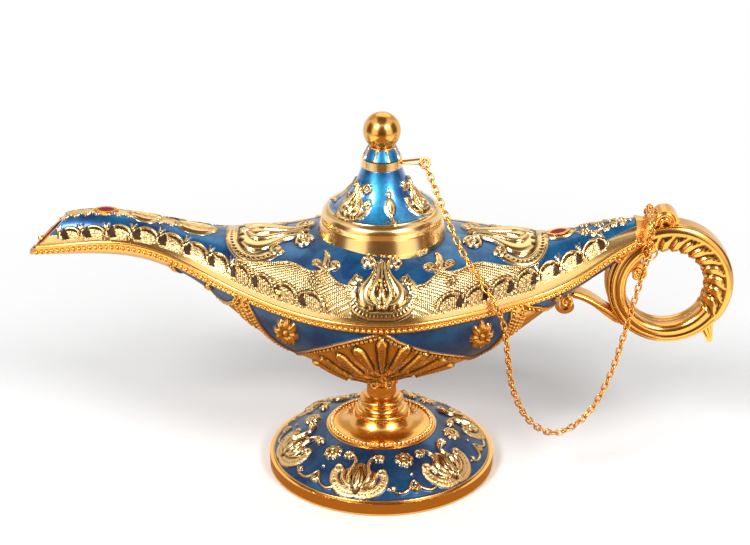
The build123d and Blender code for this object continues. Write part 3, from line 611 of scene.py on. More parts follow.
def draw_deck():
    """All the ornament of the deck's front half."""
    deck = bowl_grid(True, grid_step)
    u, t, ridge, trail = (deck.at[k] for k in ("u", "t", "ridge", "trail"))
    whole = deck.patch(t, u, (-1, 99), (-200, 200))
    whole.lift(soft(strip_top + 0.6 - whole.a), -0.1)
    feet = at_feet(arch_feet_spout, -1)[::-1] + at_feet(arch_feet_tail, 1)
    foot_line = spline([p[0] for p in feet], [p[1] for p in feet])(whole.b)
    whole.lift(soft(foot_line + 0.9 - whole.a), 0.0)

    edge = smooth(panel_edge)
    for side in (-1, 1):
        line = [(a, side * b) for b, a in edge]
        panel = [(panel_foot, side * panel_edge[0][0])] + line + [(panel_foot, side * panel_edge[-1][0])]
        part = deck.patch(t, u, (2, 20), (-60, 60))
        cover = soft(inside_of(part.a, part.b, np.array(panel)), 0.3)
        part.lift(cover, 0.0)
        deck.hatch[part.index] = np.maximum(deck.hatch[part.index], cover)
        part.wire(line, 0.4, 0.4)
    for side, feet, heights in ((-1, arch_feet_spout, arch_heights_spout),
                                (1, arch_feet_tail, arch_heights_tail)):
        for (near, low), (far, lower), height in zip(feet, feet[1:], heights):
            middle, width = (near + far) / 2, far - near
            base = np.interp(u, sorted([side * near, side * far]),
                             [low, lower] if side > 0 else [lower, low])
            part = deck.patch(t - base, middle - side * u, (-1.6, height * 1.7),
                              (-width / 2 - 1.4, width / 2 + 1.4))
            scallop(part, width, height)
    for side in (-1, 1):
        fleur(deck.patch(t - fleur_up, u - side * fleur_at, (-3, 12), (-8, 8)), fleur_size)
        rosette(deck.patch(t - rosette_up, u - side * rosette_at, (-3, 3), (-3, 3)), rosette_radius, 6)
    foot, size = front_palmette
    palmette(deck.patch(t - foot, u, (-1.5, 24), (-14, 14)), size)
    for way, foot, size in ridge_palmettes:
        palmette(deck.patch(foot + way * trail, ridge, (-2, 34), (-1, 19)), size)
    draw_spout_ridge(deck)
    draw_tail_ridge(deck)
    return deck


# The spout's ridge: where the wavy band ends, and leaves as place, length, width and reach
spout_band_end = -60
spout_leaves = ((58.5, 13.5, 8.2, 8), (74.5, 10.0, 6.6, 6))


def draw_spout_ridge(deck):
    """The wavy band along the top of the spout and the leaves at its root."""
    trail, ridge = deck.at["trail"], deck.at["ridge"]
    part = deck.patch(trail, ridge, (-125, -50), (-1, 8))
    wave = 2.0 + 0.45 * np.cos(part.a * 1.9)
    on_spout = part.a < spout_band_end
    part.lift(soft(wave - part.b) * on_spout, 0.0)
    part.roughen(soft(wave - 0.6 - part.b))
    part.lift(soft(0.3 - np.abs(part.b - wave + 0.3)) * on_spout, 0.2)
    for place, length, width, near in spout_leaves:
        leaf(deck.patch(trail + place, ridge, (-near, near), (-1, 6)), length, width)


# Where the tail's stone is along X, and the half length and half width of its setting
tail_stone_x = 54.95
setting_long, setting_wide = 5.9, 3.3
# Behind it, in distances along and across: flowers with radius, leaves with turn, and the stem
tail_flowers = ((63.8, 2.2, 1.7), (68.2, 0.0, 1.6))
tail_leaves = ((66.4, 3.6, 50), (70.4, 2.4, 130), (72.6, 1.4, 40), (75.4, 1.2, 120))
tail_leaf_size = (2.8, 1.4)
tail_vine = [(61.0, 1.6), (64.5, 3.4), (68.5, 2.6), (72.5, 1.0), (78, 0.4)]


def draw_tail_ridge(deck):
    """The setting of the tail's stone and the vine behind it."""
    trail, ridge = deck.at["trail"], deck.at["ridge"]
    for a, b, radius in tail_flowers:
        rosette(deck.patch(trail - a, ridge - b, (-3, 3), (-3, 3)), radius, 5)
    at_stone = np.interp(tail_stone_x, deck.points[-1, :, 0], trail[-1])
    setting = deck.patch(trail - at_stone, ridge, (-7, 7), (-1, 5))
    wide = setting_wide * np.clip(1 - (setting.a / setting_long) ** 2, 0, 1) ** 0.8
    near = np.abs(setting.a) < setting_long
    setting.lift(soft(wide - setting.b) * near, 0.1)
    rim_gap = np.abs(setting.b - wide + 0.3)
    setting.roll(rim_gap, 0.4, 0.35, near)
    setting.sink(soft(0.3 - np.abs(setting.b - wide + 0.95)) * near, 0.15, 0.75)
    vine = deck.patch(trail, ridge, (58, 84), (-1, 8))
    vine.wire(smooth(tail_vine), 0.3, 0.25)
    for a, b, way in tail_leaves:
        leaf_at(vine, a, b, way, *tail_leaf_size)


# The dark fields of the hull, as outlines in distances along the seam and down from it
hull_fields = [
    [(-69.5, 1.5), (-48.2, 1.5), (-48.6, 3.4), (-50.8, 6.8), (-54.0, 12.0), (-58.0, 22.0), (-70.0, 30.0),
     (-64.0, 9.0)],
    [(-43.0, 1.5), (-0.6, 1.5), (-3.2, 2.4), (-8.0, 4.1), (-13.8, 6.9), (-19.7, 11.1), (-23.6, 16.0),
     (-26.5, 22.5), (-31.5, 18.2), (-37.0, 10.5), (-40.2, 5.4)],
    [(0.6, 1.5), (41.6, 1.5), (41.6, 4.0), (39.6, 11.0), (34.5, 21.0), (30.4, 25.0), (26.0, 18.0),
     (20.4, 13.9), (13.9, 10.2), (9.0, 7.1), (5.0, 4.6), (2.6, 2.7)],
    [(48.2, 1.4), (78.5, 1.4), (79.0, 20.0), (64.0, 24.0), (58.0, 12.0), (54.6, 6.2), (51.6, 3.0)],
]
# The beads round a field: pitch, radius and distance outside the field's edge
field_bead_pitch, field_bead_radius, field_bead_gap = 1.4, 0.55, 1.35
# The hull's flowers: along the seam, down from it, radius, and height as a share of width
hull_flowers = ((-29.5, 7.8, 4.0, 1.55), (31.7, 8.8, 4.1, 1.5),
                (58.0, 3.0, 1.7, 1.0), (-57.0, 3.4, 1.5, 1.0))
# The rows of berries between the fields: both ends, along the seam and down from it
berry_rows = (((-47.0, 2.2), (-40.0, 16.0)), ((46.5, 1.6), (42.5, 16.0)))
berry_count = 9
# The fan's lobes: outer and inner end, along the keel and up from it, and half width
fan_lobes = [((0.0, 47.2), (0.0, 31.0), 1.7), ((8.0, 42.6), (2.6, 33.2), 2.0),
             ((13.8, 36.6), (5.4, 29.6), 2.1), ((19.8, 28.8), (8.6, 25.4), 2.1),
             ((22.4, 20.0), (10.2, 19.6), 2.0), ((23.2, 11.0), (11.2, 12.6), 1.9),
             ((23.0, 2.6), (11.4, 4.6), 1.7)]
fan_rib_pitch = 0.95
fan_flutes = 26


def draw_hull():
    """All the ornament of the hull's front half."""
    hull = bowl_grid(False, grid_step)
    u, t = hull.at["u"], hull.at["t"]
    whole = hull.patch(t, u, (-1, 99), (-200, 200))
    whole.lift(np.ones_like(whole.a), -0.1)
    whole.roughen(np.full_like(whole.a, 0.4))
    for field in hull_fields:
        outline = np.array([(low, along) for along, low in field])
        part = hull.patch(t, u, (0.5, 32), (outline[:, 1].min() - 2, outline[:, 1].max() + 2))
        inside = inside_of(part.a, part.b, outline)
        part.enamel(soft(inside))
        part.lift(soft(0.36 - np.abs(inside + 0.3)), 0.25)
        edge = closed_line(outline)
        _, along = distance_to(part.a, part.b, edge)
        beads = round(run_along(edge)[-1] / field_bead_pitch)
        step = np.abs(along * beads % 1 - 0.5) * field_bead_pitch
        bead = np.hypot(inside + field_bead_gap, step)
        part.roll(bead, field_bead_radius, 0.6, part.a > 1.6)
        part.sink(soft(0.25 - np.abs(inside + field_bead_gap)) * soft(bead - 0.5), 0.15, 0.7)
        part.sink(soft(0.2 - np.abs(inside - 0.25)), 0.0, 0.7)
    for middle, down, radius, tall in hull_flowers:
        rosette(hull.patch((t - down) / tall, u - middle, (-6, 6), (-6, 6)), radius, 8)
    draw_fan(hull)
    part = hull.patch(t, u, (1, 20), (-58, 56))
    for (b_first, a_first), (b_last, a_last) in berry_rows:
        for k in range(berry_count):
            share = (k + 0.5) / berry_count
            b = b_first + (b_last - b_first) * share
            a = a_first + (a_last - a_first) * share
            part.ball(a, b, 0.55, 0.35)
            for way in (1, -1):
                part.ball(a + way * 0.8, b - way * 1.4, 0.4, 0.25)
    return hull


def draw_fan(hull):
    """Lobes and flutes that fan up over the stem."""
    trail, ridge = hull.at["trail"], hull.at["ridge"]
    part = hull.patch(ridge, trail, (-1, 50), (-26, 26))
    for (b_out, a_out), (b_in, a_in), half_width in fan_lobes:
        long = math.hypot(b_out - b_in, a_out - a_in)
        for side in (1, -1) if b_out else (1,):
            ua, ub = (a_out - a_in) / long, side * (b_out - b_in) / long
            run = (part.a - a_in) * ua + (part.b - side * b_in) * ub
            across = (part.b - side * b_in) * ua - (part.a - a_in) * ub
            share = run / long
            wide = half_width * np.clip(share, 0, 1) ** 0.55 * np.sqrt(np.clip((1 - share) / 0.16, 0, 1))
            inside = wide - np.abs(across)
            near = (share > 0) & (share < 1.06)
            part.sink(soft(0.3 - np.abs(inside + 0.3)) * near, 0.3, 0.8)
            part.lift(soft(inside) * near, 1.1 * round_top(np.abs(across) / np.maximum(wide, 1e-3)))
            ribs = 0.5 + 0.5 * np.cos(run * 2 * math.pi / fan_rib_pitch)
            part.sink(ribs * soft(0.55 * wide - np.abs(across)) * (share < 0.8) * near, 0.22, 0.55)
            part.wire([(a_in + k * ua, side * b_in + k * ub) for k in (-12.0, -1.0)], 0.42, 0.45, (0.6, 1.0))
    far, angle = np.hypot(part.a, part.b), np.arctan2(part.a, np.abs(part.b))
    flutes = 0.5 + 0.5 * np.cos(angle * fan_flutes)
    part.sink(flutes * soft(24 - far, 8) * soft(far - 7, 2), 0.22, 0.55)


def turned_grid(profile, step, widest):
    """A relief all round a surface of revolution, from a fine line of (radius, height)."""
    profile = np.asarray(profile, float)
    run = run_along(profile)
    rows = int(run[-1] / step)
    along = np.linspace(0, run[-1], rows)
    radius, z = (np.interp(along, run, column) for column in profile.T)
    out, rise = np.gradient(z, along), -np.gradient(radius, along)
    columns = int(2 * math.pi * widest / step)
    turn = np.arange(columns) * 2 * math.pi / columns - math.pi / 2
    turn = np.repeat(turn[None, :], rows, 0)
    radius, z, out, rise = (np.repeat(c[:, None], columns, 1) for c in (radius, z, out, rise))
    points = np.stack([radius * np.cos(turn), radius * np.sin(turn), z], -1)
    normals = np.stack([out * np.cos(turn), out * np.sin(turn), rise], -1)
    relief = Relief(points, normals, along=np.repeat(along[:, None], columns, 1), turn=turn, radius=radius)
    relief.round = True
    return relief


def radius_at(tree, z):
    """How far from the lamp's axis a tree's front is at a height."""
    return -hit(tree, (0, -ray_start, z), (0, 1, 0))[1]


def profile_of(names, low, high, count):
    """The outside of some turned CAD nodes, as points of (radius, height)."""
    tree = tree_of(*names)
    return [(radius_at(tree, z), z) for z in np.linspace(low, high, count)]


def around(relief, degrees, lift=0.0):
    """The flat coordinates round a meridian, which is given in degrees from the front to +X."""
    middle = math.radians(degrees) - math.pi / 2
    turn = (relief.at["turn"] - middle + math.pi) % (2 * math.pi) - math.pi
    return relief.at["along"] - lift, turn * relief.at["radius"]


def mesh_of(name, relief, mirrored=False):
    """A closed skin over a relief: its outside, a coarse inside and edges all round."""
    relief.settle()
    outer = relief.outer()
    rows, columns = outer.shape[:2]
    pick = np.unique(np.linspace(0, rows - 1, skin_inner_rows).astype(int))
    inner = (relief.points - relief.normals * skin_depth)[pick]
    places = np.concatenate([outer.reshape(-1, 3), inner.reshape(-1, 3)]) * mm
    if mirrored:
        places[:, 1] *= -1
    number = np.arange(rows * columns).reshape(rows, columns)
    below = rows * columns + np.arange(len(pick) * columns).reshape(len(pick), columns)

    def quads(grid):
        if relief.round:
            grid = np.concatenate([grid, grid[:, :1]], 1)
        return np.stack([grid[:-1, :-1], grid[:-1, 1:], grid[1:, 1:], grid[1:, :-1]], -1).reshape(-1, 4)

    faces = [quads(number), quads(below)[:, ::-1],
             quads(np.stack([below[0], number[0]])), quads(np.stack([number[-1], below[-1]]))]
    faces = np.concatenate(faces).tolist()
    if not relief.round:
        faces.append(list(number[:, 0]) + list(below[::-1, 0]))
        faces.append(list(number[::-1, -1]) + list(below[:, -1]))
    mesh = bpy.data.meshes.new(name)
    mesh.from_pydata(places.tolist(), [], faces)
    for label in ("gold", "dark", "grain", "hatch"):
        layer = mesh.attributes.new(label, "FLOAT", "POINT")
        values = getattr(relief, label)
        layer.data.foreach_set("value", np.concatenate(
            [values.ravel(), values[pick].ravel()]).astype(np.float32))
    mesh.shade_smooth()
    return placed(name, mesh)


# The hole in the deck's skin, just outside the collar's sleeve and under its ring
deck_hole_radius = 17.8
deck_hole_low, deck_hole_high = 55.0, 100.0
deck_hole_sides = 96


def bored(piece):
    """The piece with the round hole of the lamp's mouth cut through it."""
    turn = np.arange(deck_hole_sides) * 2 * math.pi / deck_hole_sides
    ring = np.stack([deck_hole_radius * np.cos(turn), deck_hole_radius * np.sin(turn)], -1)
    places = [(x * mm, y * mm, z * mm) for z in (deck_hole_low, deck_hole_high) for x, y in ring]
    low, high = list(range(deck_hole_sides)), list(range(deck_hole_sides, 2 * deck_hole_sides))
    faces = [low[::-1], high]
    faces += [(low[k - 1], low[k], high[k], high[k - 1]) for k in range(deck_hole_sides)]
    mesh = bpy.data.meshes.new("bore")
    mesh.from_pydata(places, [], faces)
    tool = placed("bore", mesh)
    cut = piece.modifiers.new("bore", "BOOLEAN")
    cut.operation, cut.solver, cut.object = "DIFFERENCE", "MANIFOLD", tool
    state = bpy.context.evaluated_depsgraph_get()
    result = bpy.data.meshes.new_from_object(piece.evaluated_get(state), preserve_all_data_layers=True,
                                             depsgraph=state)
    piece.modifiers.clear()
    piece.data = result
    bpy.data.objects.remove(tool)
    return piece


# The foot's dome and its ornament
dome_line = ((34.9, 3.9), (26.83, 9.82), (17.3, 12.9))
foot_turns = 6
foot_first = -14.5
foot_flame_up, foot_flame_size = 1.3, 15.4
foot_rosette_turn, foot_rosette_up, foot_rosette_radius = 32.5, 14.3, 2.9
foot_trefoil_turn = 33.8
# The vine between two flames, as degrees round and distances up, and the radius it is drawn at
foot_vine_radius = 32
foot_vine = [(18.5, 4.4), (20.5, 3.4), (24.0, 2.6), (28.0, 3.0), (31.2, 4.6), (33.6, 6.3), (36.2, 4.2),
             (39.5, 2.7), (43.0, 2.2), (46.0, 2.8)]


def arc_through(first, middle, last, count):
    """Points along the arc through three points."""
    first, middle, last = (np.array(p, float) for p in (first, middle, last))
    system = 2 * np.array([middle - first, last - first])
    centre = np.linalg.solve(system, [middle @ middle - first @ first, last @ last - first @ first])
    start, end = (math.atan2(p[1] - centre[1], p[0] - centre[0]) for p in (first, last))
    turn = np.linspace(start, end, count)
    radius = np.linalg.norm(first - centre)
    return centre + radius * np.stack([np.cos(turn), np.sin(turn)], -1)


def draw_foot():
    """The dome's ornament: flames with a flower and a vine between each two."""
    foot = turned_grid(arc_through(*dome_line, 200), grid_step, dome_line[0][0])
    a, b = around(foot, 0)
    edge = foot.patch(a, b, (-1, 30), (-200, 200))
    edge.lift(soft(0.55 - edge.a), 0.0)
    edge.lift(soft(edge.a - edge.a.max() + 0.5), -0.1)
    for k in range(foot_turns):
        middle = foot_first + 360 / foot_turns * k
        a, b = around(foot, middle, foot_flame_up)
        flame(foot.patch(a, b, (-1.5, 19), (-13, 13)), foot_flame_size)
        a, b = around(foot, middle + foot_rosette_turn, foot_rosette_up)
        rosette(foot.patch(a, b, (-5, 5), (-5, 5)), foot_rosette_radius, 8)
        a, b = around(foot, middle + foot_trefoil_turn, 0)
        part = foot.patch(a, b, (0, 12), (-12, 12))
        per_degree = math.radians(1) * foot_vine_radius
        line = smooth([(up, (turn - foot_trefoil_turn) * per_degree) for turn, up in foot_vine])
        part.wire(line, 0.34, 0.3)
        for lean in (-40, 0, 40):
            leaf_at(part, 3.7, 1.1 * math.sin(math.radians(lean)), lean, 2.4, 1.15)
        part.ball(8.6, 0.1, 0.45, 0.35)
        for turn, up in ((-12.4, 4.4), (12.4, 4.2)):
            part.ball(up, turn * per_degree, 0.75, 0.5)
    return foot


def leaf_at(patch, a, b, degrees, length, width):
    """A leaf about (a, b), turned by some degrees from pointing up."""
    turn = math.radians(degrees)
    da, db = patch.a - a, patch.b - b
    leaf(Patch(patch.relief, patch.index, da * math.cos(turn) + db * math.sin(turn),
               db * math.cos(turn) - da * math.sin(turn)), length, width)


# The lid's bell and its ornament
bell_low, bell_high = 89.0, 102.5
bell_radius = 15.0
lid_turns = 3
lid_first_palmette = -48.0
lid_first_leaf = 13.0
lid_palmette_up, lid_palmette_size, lid_palmette_wide = 0.2, 14.0, 0.78


def draw_lid():
    """The bell's ornament: palmettes with a leaf between each two."""
    lid = turned_grid(profile_of(("lid", "lid_enamel"), bell_low, bell_high, 60), grid_step, bell_radius)
    a, b = around(lid, 0)
    edge = lid.patch(a, b, (-1, 30), (-200, 200))
    edge.lift(soft(0.6 - edge.a), 0.0)
    for k in range(lid_turns):
        a, b = around(lid, lid_first_palmette + 360 / lid_turns * k, lid_palmette_up)
        palmette(lid.patch(a, b, (-1.5, 16), (-9, 9)), lid_palmette_size, lid_palmette_wide)
        a, b = around(lid, lid_first_leaf + 360 / lid_turns * k, 0)
        part = lid.patch(a, b, (-1, 18), (-5, 5))
        part.wire([(0.2, 0), (13.0, 0)], 0.5, 0.3, (1.8, 0.7, 0.7, 0.6, 0.3))
        leaf_at(part, 7.0, 0, 0, 6.0, 2.6)
        part.wire(spiral(1.6, 1.0, 0.9, 0, 300), 0.3, 0.3)
        part.wire(spiral(1.6, -1.0, 0.9, 180, -300), 0.3, 0.3)
        part.ball(11.2, 0, 0.75, 0.35)
    return lid


# The lid's neck and its ribs
neck_low, neck_high = 105.15, 108.45
neck_step = 0.2
neck_radius = 5.0
neck_ribs = 8


def draw_neck():
    """The upright ribs that part the enamel of the lid's neck."""
    neck = turned_grid(profile_of(("neck_enamel",), neck_low, neck_high, 20), neck_step, neck_radius)
    for k in range(neck_ribs):
        a, b = around(neck, 360 / neck_ribs * (k + 0.5), 0)
        part = neck.patch(a, b, (-1, 5), (-1.6, 1.6))
        part.wire([(0, 0), (4.0, 0)], 0.34, 0.2, (1.6, 0.8, 0.6, 0.8, 1.4))
    return neck


# The handle's ring, as in the CAD part, and the ornament on its cheeks
ring_radius = 19.8
# The cheek's skin ends a little inside the ring, so that it stays within the CAD part's reach
cheek_radius = ring_radius - 0.06
ring_middle = (90.0, 64.0)
hole_radius = 13.1
hole_middle = (89.1, 62.5)
ring_half_width = 3.5
ring_proud = 0.25
# The cheek's grid: the degrees that it runs through, the radius that sets how many columns it
# has, how far round its own section it starts, and its rows
cheek_from, cheek_to = -232, 128
cheek_mean_radius = 16.5
cheek_edge_turn, cheek_rows = 0.26, 46
# The leaves' ribs: pitch at their radius, the degrees between which they lie, and their slant
rib_pitch = 4.1
rib_first, rib_last = -38.0, 118.0
rib_radius = 15.0
rib_slant = 5.5
# The ridges round the rest, as shares of the cheek's width: middle and half width, with height
cheek_ridges = ((0.26, 0.27, 1.2), (0.66, 0.13, 0.95), (0.90, 0.11, 0.8))


def draw_ring():
    """The sculpted front cheek of the handle's ring: leaves over the top, ridges round the rest."""
    columns = int(2 * math.pi * cheek_mean_radius / grid_step)
    turn = np.radians(np.linspace(cheek_from, cheek_to, columns))[None, :]
    bend = np.linspace(cheek_edge_turn, math.pi, cheek_rows)[:, None]
    inner = hole_radius + (hole_middle[0] - ring_middle[0]) * np.cos(turn) + (
        hole_middle[1] - ring_middle[1]) * np.sin(turn)
    half = (cheek_radius - inner) / 2
    curve = [np.sign(f(bend)) * np.abs(f(bend)) ** (2 / 3) for f in (np.cos, np.sin)]
    far = cheek_radius - half + (half + 0.1 * (curve[0] < 0)) * curve[0]
    depth = -(ring_half_width + ring_proud) * curve[1] + 0 * far
    points = np.stack([ring_middle[0] + far * np.cos(turn), depth, ring_middle[1] + far * np.sin(turn)], -1)
    along, across = (np.gradient(points, axis=k) for k in (1, 0))
    normals = unit(np.cross(along, across))
    if normals[normals.shape[0] // 2, 0, 1] > 0:
        normals = -normals
    share = (far - inner) / (2 * half)
    degrees = np.degrees(turn) + 0 * far
    ring = Relief(points, normals, share=share, degrees=degrees)
    ring.gold[:] = 1
    at_rim = np.clip((1 - np.abs(curve[0] + 0 * far)) / 0.02, 0, 1)
    edge = np.clip((share.max(0) - share) / 0.1, 0, 1) * at_rim
    top = soft(degrees - rib_first, 8.0) * soft(rib_last - degrees, 8.0)
    run = np.radians(degrees) * rib_radius
    slant = run + rib_slant * np.abs(share - 0.1) ** 1.3
    wave = slant / rib_pitch % 1
    rib = np.clip(1.25 * np.sin(math.pi * wave) ** 0.8, 0, 1) * (0.45 + 0.55 * wave)
    lobe = soft(0.60 + 0.05 * np.sin(2 * math.pi * wave) - share, 0.05)
    rim = round_top(np.clip(np.abs(share - 0.80) / 0.24, 0, 1))
    leaves = np.maximum(lobe * (0.25 + 1.15 * rib), 1.25 * rim)
    ridges = np.zeros(share.shape)
    for middle, wide, high in cheek_ridges:
        ridges = np.maximum(ridges, high * round_top(np.clip(np.abs(share - middle) / wide, 0, 1)))
    ring.height = lowest_lift + edge * (top * leaves + (1 - top) * ridges)
    # Painted shade in the low ground between the leaves' ribs and between the ridges
    ring.dark = edge * np.maximum(top * lobe * np.clip(1 - 1.6 * rib, 0, 1),
                                  np.clip(1 - ridges / 0.35, 0, 1) * (1 - top)) * 0.6
    return ring


# Scrolls as (middle, radius, first angle, turn, half width of the wire, half width of the piece)
scroll_wires = [((87.5, 84.55), 3.3, 200, -560, 0.85, 2.9), ((58.35, 57.6), 2.0, 80, 540, 0.62, 2.5),
                ((79.7, 66.3), 1.4, 60, 420, 0.5, 2.5)]
# Wires along the strap and the tip as (points in x and z, half widths, half width of the piece)
strap_wires = [([(76.2, 50.2), (72.2, 53.5), (67.43, 56.58), (63.6, 58.7), (59.6, 60.1)],
                (0.9, 0.85, 0.7), 2.5),
               ([(100.6, 52.6), (101.8, 49.0), (103.6, 45.0)], (1.5, 1.2, 0.7), 1.8),
               ([(102.6, 52.6), (103.2, 49.0), (104.0, 45.6)], (0.8, 0.8, 0.5), 1.9),
               ([(82.0, 80.6), (84.6, 82.0), (87.4, 81.4)], (0.9, 1.0, 0.7), 2.9)]


def add_pair(heap, x, z, depth, wide):
    """The same wire on the front and the back of a piece."""
    for side in (-1, 1):
        heap.add(*round_wire(np.stack([x, 0 * x + side * depth, z], -1), wide, 8, False))


def draw_scrolls(metal):
    """Round wires that turn the handle's and the strap's flat scrolls into volutes."""
    heap = Heap()
    for (x, z), radius, start, turn, width, depth in scroll_wires:
        line = spiral(z, x, radius, start, turn, 0.22, 40)
        wide = width * np.linspace(1.0, 0.75, len(line))
        add_pair(heap, line[:, 1], line[:, 0], depth, wide)
    for line, wide, depth in strap_wires:
        line = smooth(line, 8)
        wide = np.interp(np.linspace(0, 1, len(line)), np.linspace(0, 1, len(wide)), wide)
        add_pair(heap, line[:, 0], line[:, 1], depth, wide)
    dress(heap.piece("handle_wires"), metal, "root")


# The beads round the foot's saucer
saucer_beads = 72
saucer_bead_radius = 16.1
saucer_bead_size, saucer_bead_lift = 0.64, 0.3
# The petals round the head of the stem: an oval loop of wire with a bead in its middle
stem_petals = 6
stem_petal_height = 29.8
petal_proud = 0.1
petal_half_width, petal_half_height, petal_lean = 1.35, 1.9, 0.25
petal_wire, petal_bead = 0.45, 0.55


def turned_beads(heap, count, radius, height, size):
    """A ring of beads about the lamp's axis."""
    for k in range(count):
        turn = 2 * math.pi * k / count
        heap.add(*ball_mesh((radius * math.cos(turn), radius * math.sin(turn), height), size, 5, 7))


def make_foot_beads(metal):
    """The ring of beads round the foot's saucer, and the petals round the head of the stem."""
    tree = tree_of("foot")
    heap = Heap()
    height = hit(tree, (saucer_bead_radius, 0, 30), (0, 0, -1))[2]
    turned_beads(heap, saucer_beads, saucer_bead_radius, height + saucer_bead_lift, saucer_bead_size)
    reach_out = radius_at(tree_of("stem", "bowl_lower"), stem_petal_height) + petal_proud
    for k in range(stem_petals):
        turn = 2 * math.pi * (k + 0.5) / stem_petals - math.pi / 2
        out = np.array((math.cos(turn), math.sin(turn), 0))
        side = np.array((-math.sin(turn), math.cos(turn), 0))
        loop = [reach_out * out + petal_half_width * math.cos(a) * side
                + (0, 0, stem_petal_height + petal_half_height * math.sin(a))
                + petal_lean * math.sin(a) * out for a in np.radians(np.arange(0, 360, 20))]
        heap.add(*round_wire(loop, petal_wire, 7))
        heap.add(*ball_mesh(reach_out * out + (0, 0, stem_petal_height), petal_bead, 5, 7))
    dress(heap.piece("foot_beads"), metal, "root")


def make_camera():
    """The camera that the photograph was fitted with."""
    data = bpy.data.cameras.new("camera")
    data.sensor_width = sensor_width
    data.lens = sensor_width * camera_focus / photo_width
    data.clip_start, data.clip_end = 0.01, 50
    camera = placed("camera", data)
    camera.location = Vector(camera_place) * mm
    turn_to(camera, Vector(camera_aim) * mm)
    bpy.context.scene.camera = camera


# Where the lamps and the standing cards point
light_aim = (0, 0, 0.05)
# The lamps: name, place, size and power
lamps = (
    ("key", (-0.55, -0.65, 0.75), 0.35, 9),
    ("fill", (0.55, -0.65, 0.70), 0.35, 7),
    ("back", (0.1, 0.8, 0.9), 1.0, 2.5),
)
# The cards: name, place, width, height, colour, and whether it lies on the floor. One that is
# placed to the right has a twin on the left.
cards = (
    ("card_front", (0.0, -1.1, 0.30), 3.2, 1.5, (0.12, 0.062, 0.022)),
    ("card_top", (0.0, -0.15, 1.3), 1.1, 1.3, (0.16, 0.10, 0.05)),
    ("card", (1.2, -0.1, 0.35), 0.9, 1.1, (0.16, 0.08, 0.03)),
    ("card_back", (0.0, 0.95, 0.95), 2.6, 1.2, (0.66, 0.56, 0.42)),
    ("soft", (0.72, -0.78, 0.32), 0.62, 0.95, (1.5, 1.3, 1.0)),
    ("card_low", (0.0, -0.10, 0.0005), 0.18, 0.6, (0.50, 0.27, 0.10), True),
    ("low", (0.155, -0.13, 0.0006), 0.13, 0.26, (2.0, 1.8, 1.4), True),
)


def make_lamp(name, place, size, power):
    """A round lamp that points at the object."""
    data = bpy.data.lights.new(name, "AREA")
    data.shape, data.size, data.energy = "DISK", size, power
    lamp = placed(name, data)
    lamp.location = place
    turn_to(lamp, light_aim)


class Nodes:
    """Short hands for building a material's nodes."""

    def __init__(self, tree):
        self.tree = tree
        tree.nodes.clear()

    def put(self, value, socket):
        """Links a socket to another node's output, or gives it a value."""
        if isinstance(value, bpy.types.NodeSocket):
            self.tree.links.new(value, socket)
        elif isinstance(value, tuple) and len(value) == 3 and socket.type == "RGBA":
            socket.default_value = (*value, 1.0)
        else:
            socket.default_value = value

    def add(self, kind, output=0, settings=None, **inputs):
        """A node's output. Its inputs go by name, or by number after one letter."""
        node = self.tree.nodes.new(kind)
        for name, value in (settings or {}).items():
            setattr(node, name, value)
        for name, value in inputs.items():
            self.put(value, node.inputs[int(name[1:]) if name[1:].isdigit() else name.replace("_", " ")])
        return node.outputs[output]

    def math(self, operation, *values):
        """A sum, product or other operation on values."""
        return self.add("ShaderNodeMath", settings={"operation": operation},
                        **{f"i{k}": value for k, value in enumerate(values)})

    def mix(self, share, first, second):
        """Two colours mixed, with this share of the second."""
        node = self.tree.nodes.new("ShaderNodeMix")
        node.data_type = "RGBA"
        for value, k in ((share, 0), (first, 6), (second, 7)):
            self.put(value, node.inputs[k])
        return node.outputs[2]

    def attribute(self, name):
        """A value that is stored on the relief's points."""
        return self.add("ShaderNodeAttribute", 2, {"attribute_name": name})

    def finish(self, shade, kind="ShaderNodeOutputMaterial"):
        """Links a shader to the output."""
        self.put(shade, self.tree.nodes.new(kind).inputs[0])


def new_material(name):
    """A new material and its empty node tree."""
    material = bpy.data.materials.new(name)
    material.use_nodes = True
    return material, Nodes(material.node_tree)


# How bright the world is as light, where it is seen or mirrored as full white
world_light = 0.35


def make_world():
    """A white background that lights the object only softly."""
    world = bpy.data.worlds.new("world")
    bpy.context.scene.world = world
    world.use_nodes = True
    n = Nodes(world.node_tree)
    path = n.tree.nodes.new("ShaderNodeLightPath")
    seen = n.math("MAXIMUM", n.math("MAXIMUM", path.outputs["Is Camera Ray"], path.outputs["Is Glossy Ray"]),
                  path.outputs["Is Transmission Ray"])
    strength = n.math("MULTIPLY_ADD", seen, 1.0 - world_light, world_light)
    n.finish(n.add("ShaderNodeBackground", Color=(1.0, 1.0, 1.0), Strength=strength), "ShaderNodeOutputWorld")


# The floor: how far out it starts to fade into the background, and how far out it is gone
floor_near, floor_far = 0.09, 0.27
floor_side = 6
floor_gap = 0.0002
floor_colour = (0.85, 0.85, 0.85)


def make_floor():
    """A pale floor for the shadow, which fades out into the white round the object."""
    mesh = rectangle("floor", floor_side, floor_side)
    floor = placed("floor", mesh)
    floor.location.z = -floor_gap
    paper, n = new_material("floor_paper")
    place = n.add("ShaderNodeTexCoord", 3)
    far = n.add("ShaderNodeVectorMath", 1, {"operation": "LENGTH"}, i0=place)
    fade = n.add("ShaderNodeMapRange", 0, {"interpolation_type": "SMOOTHSTEP"}, Value=far,
                 From_Min=floor_near, From_Max=floor_far)
    white = n.add("ShaderNodeBsdfDiffuse", Color=floor_colour)
    clear = n.add("ShaderNodeBsdfTransparent")
    n.finish(n.add("ShaderNodeMixShader", i0=fade, i1=white, i2=clear))
    mesh.materials.append(paper)


def rectangle(name, width, height):
    """A flat mesh about the origin."""
    mesh = bpy.data.meshes.new(name)
    w, h = width / 2, height / 2
    mesh.from_pydata([(-w, -h, 0), (w, -h, 0), (w, h, 0), (-w, h, 0)], [], [(0, 1, 2, 3)])
    return mesh


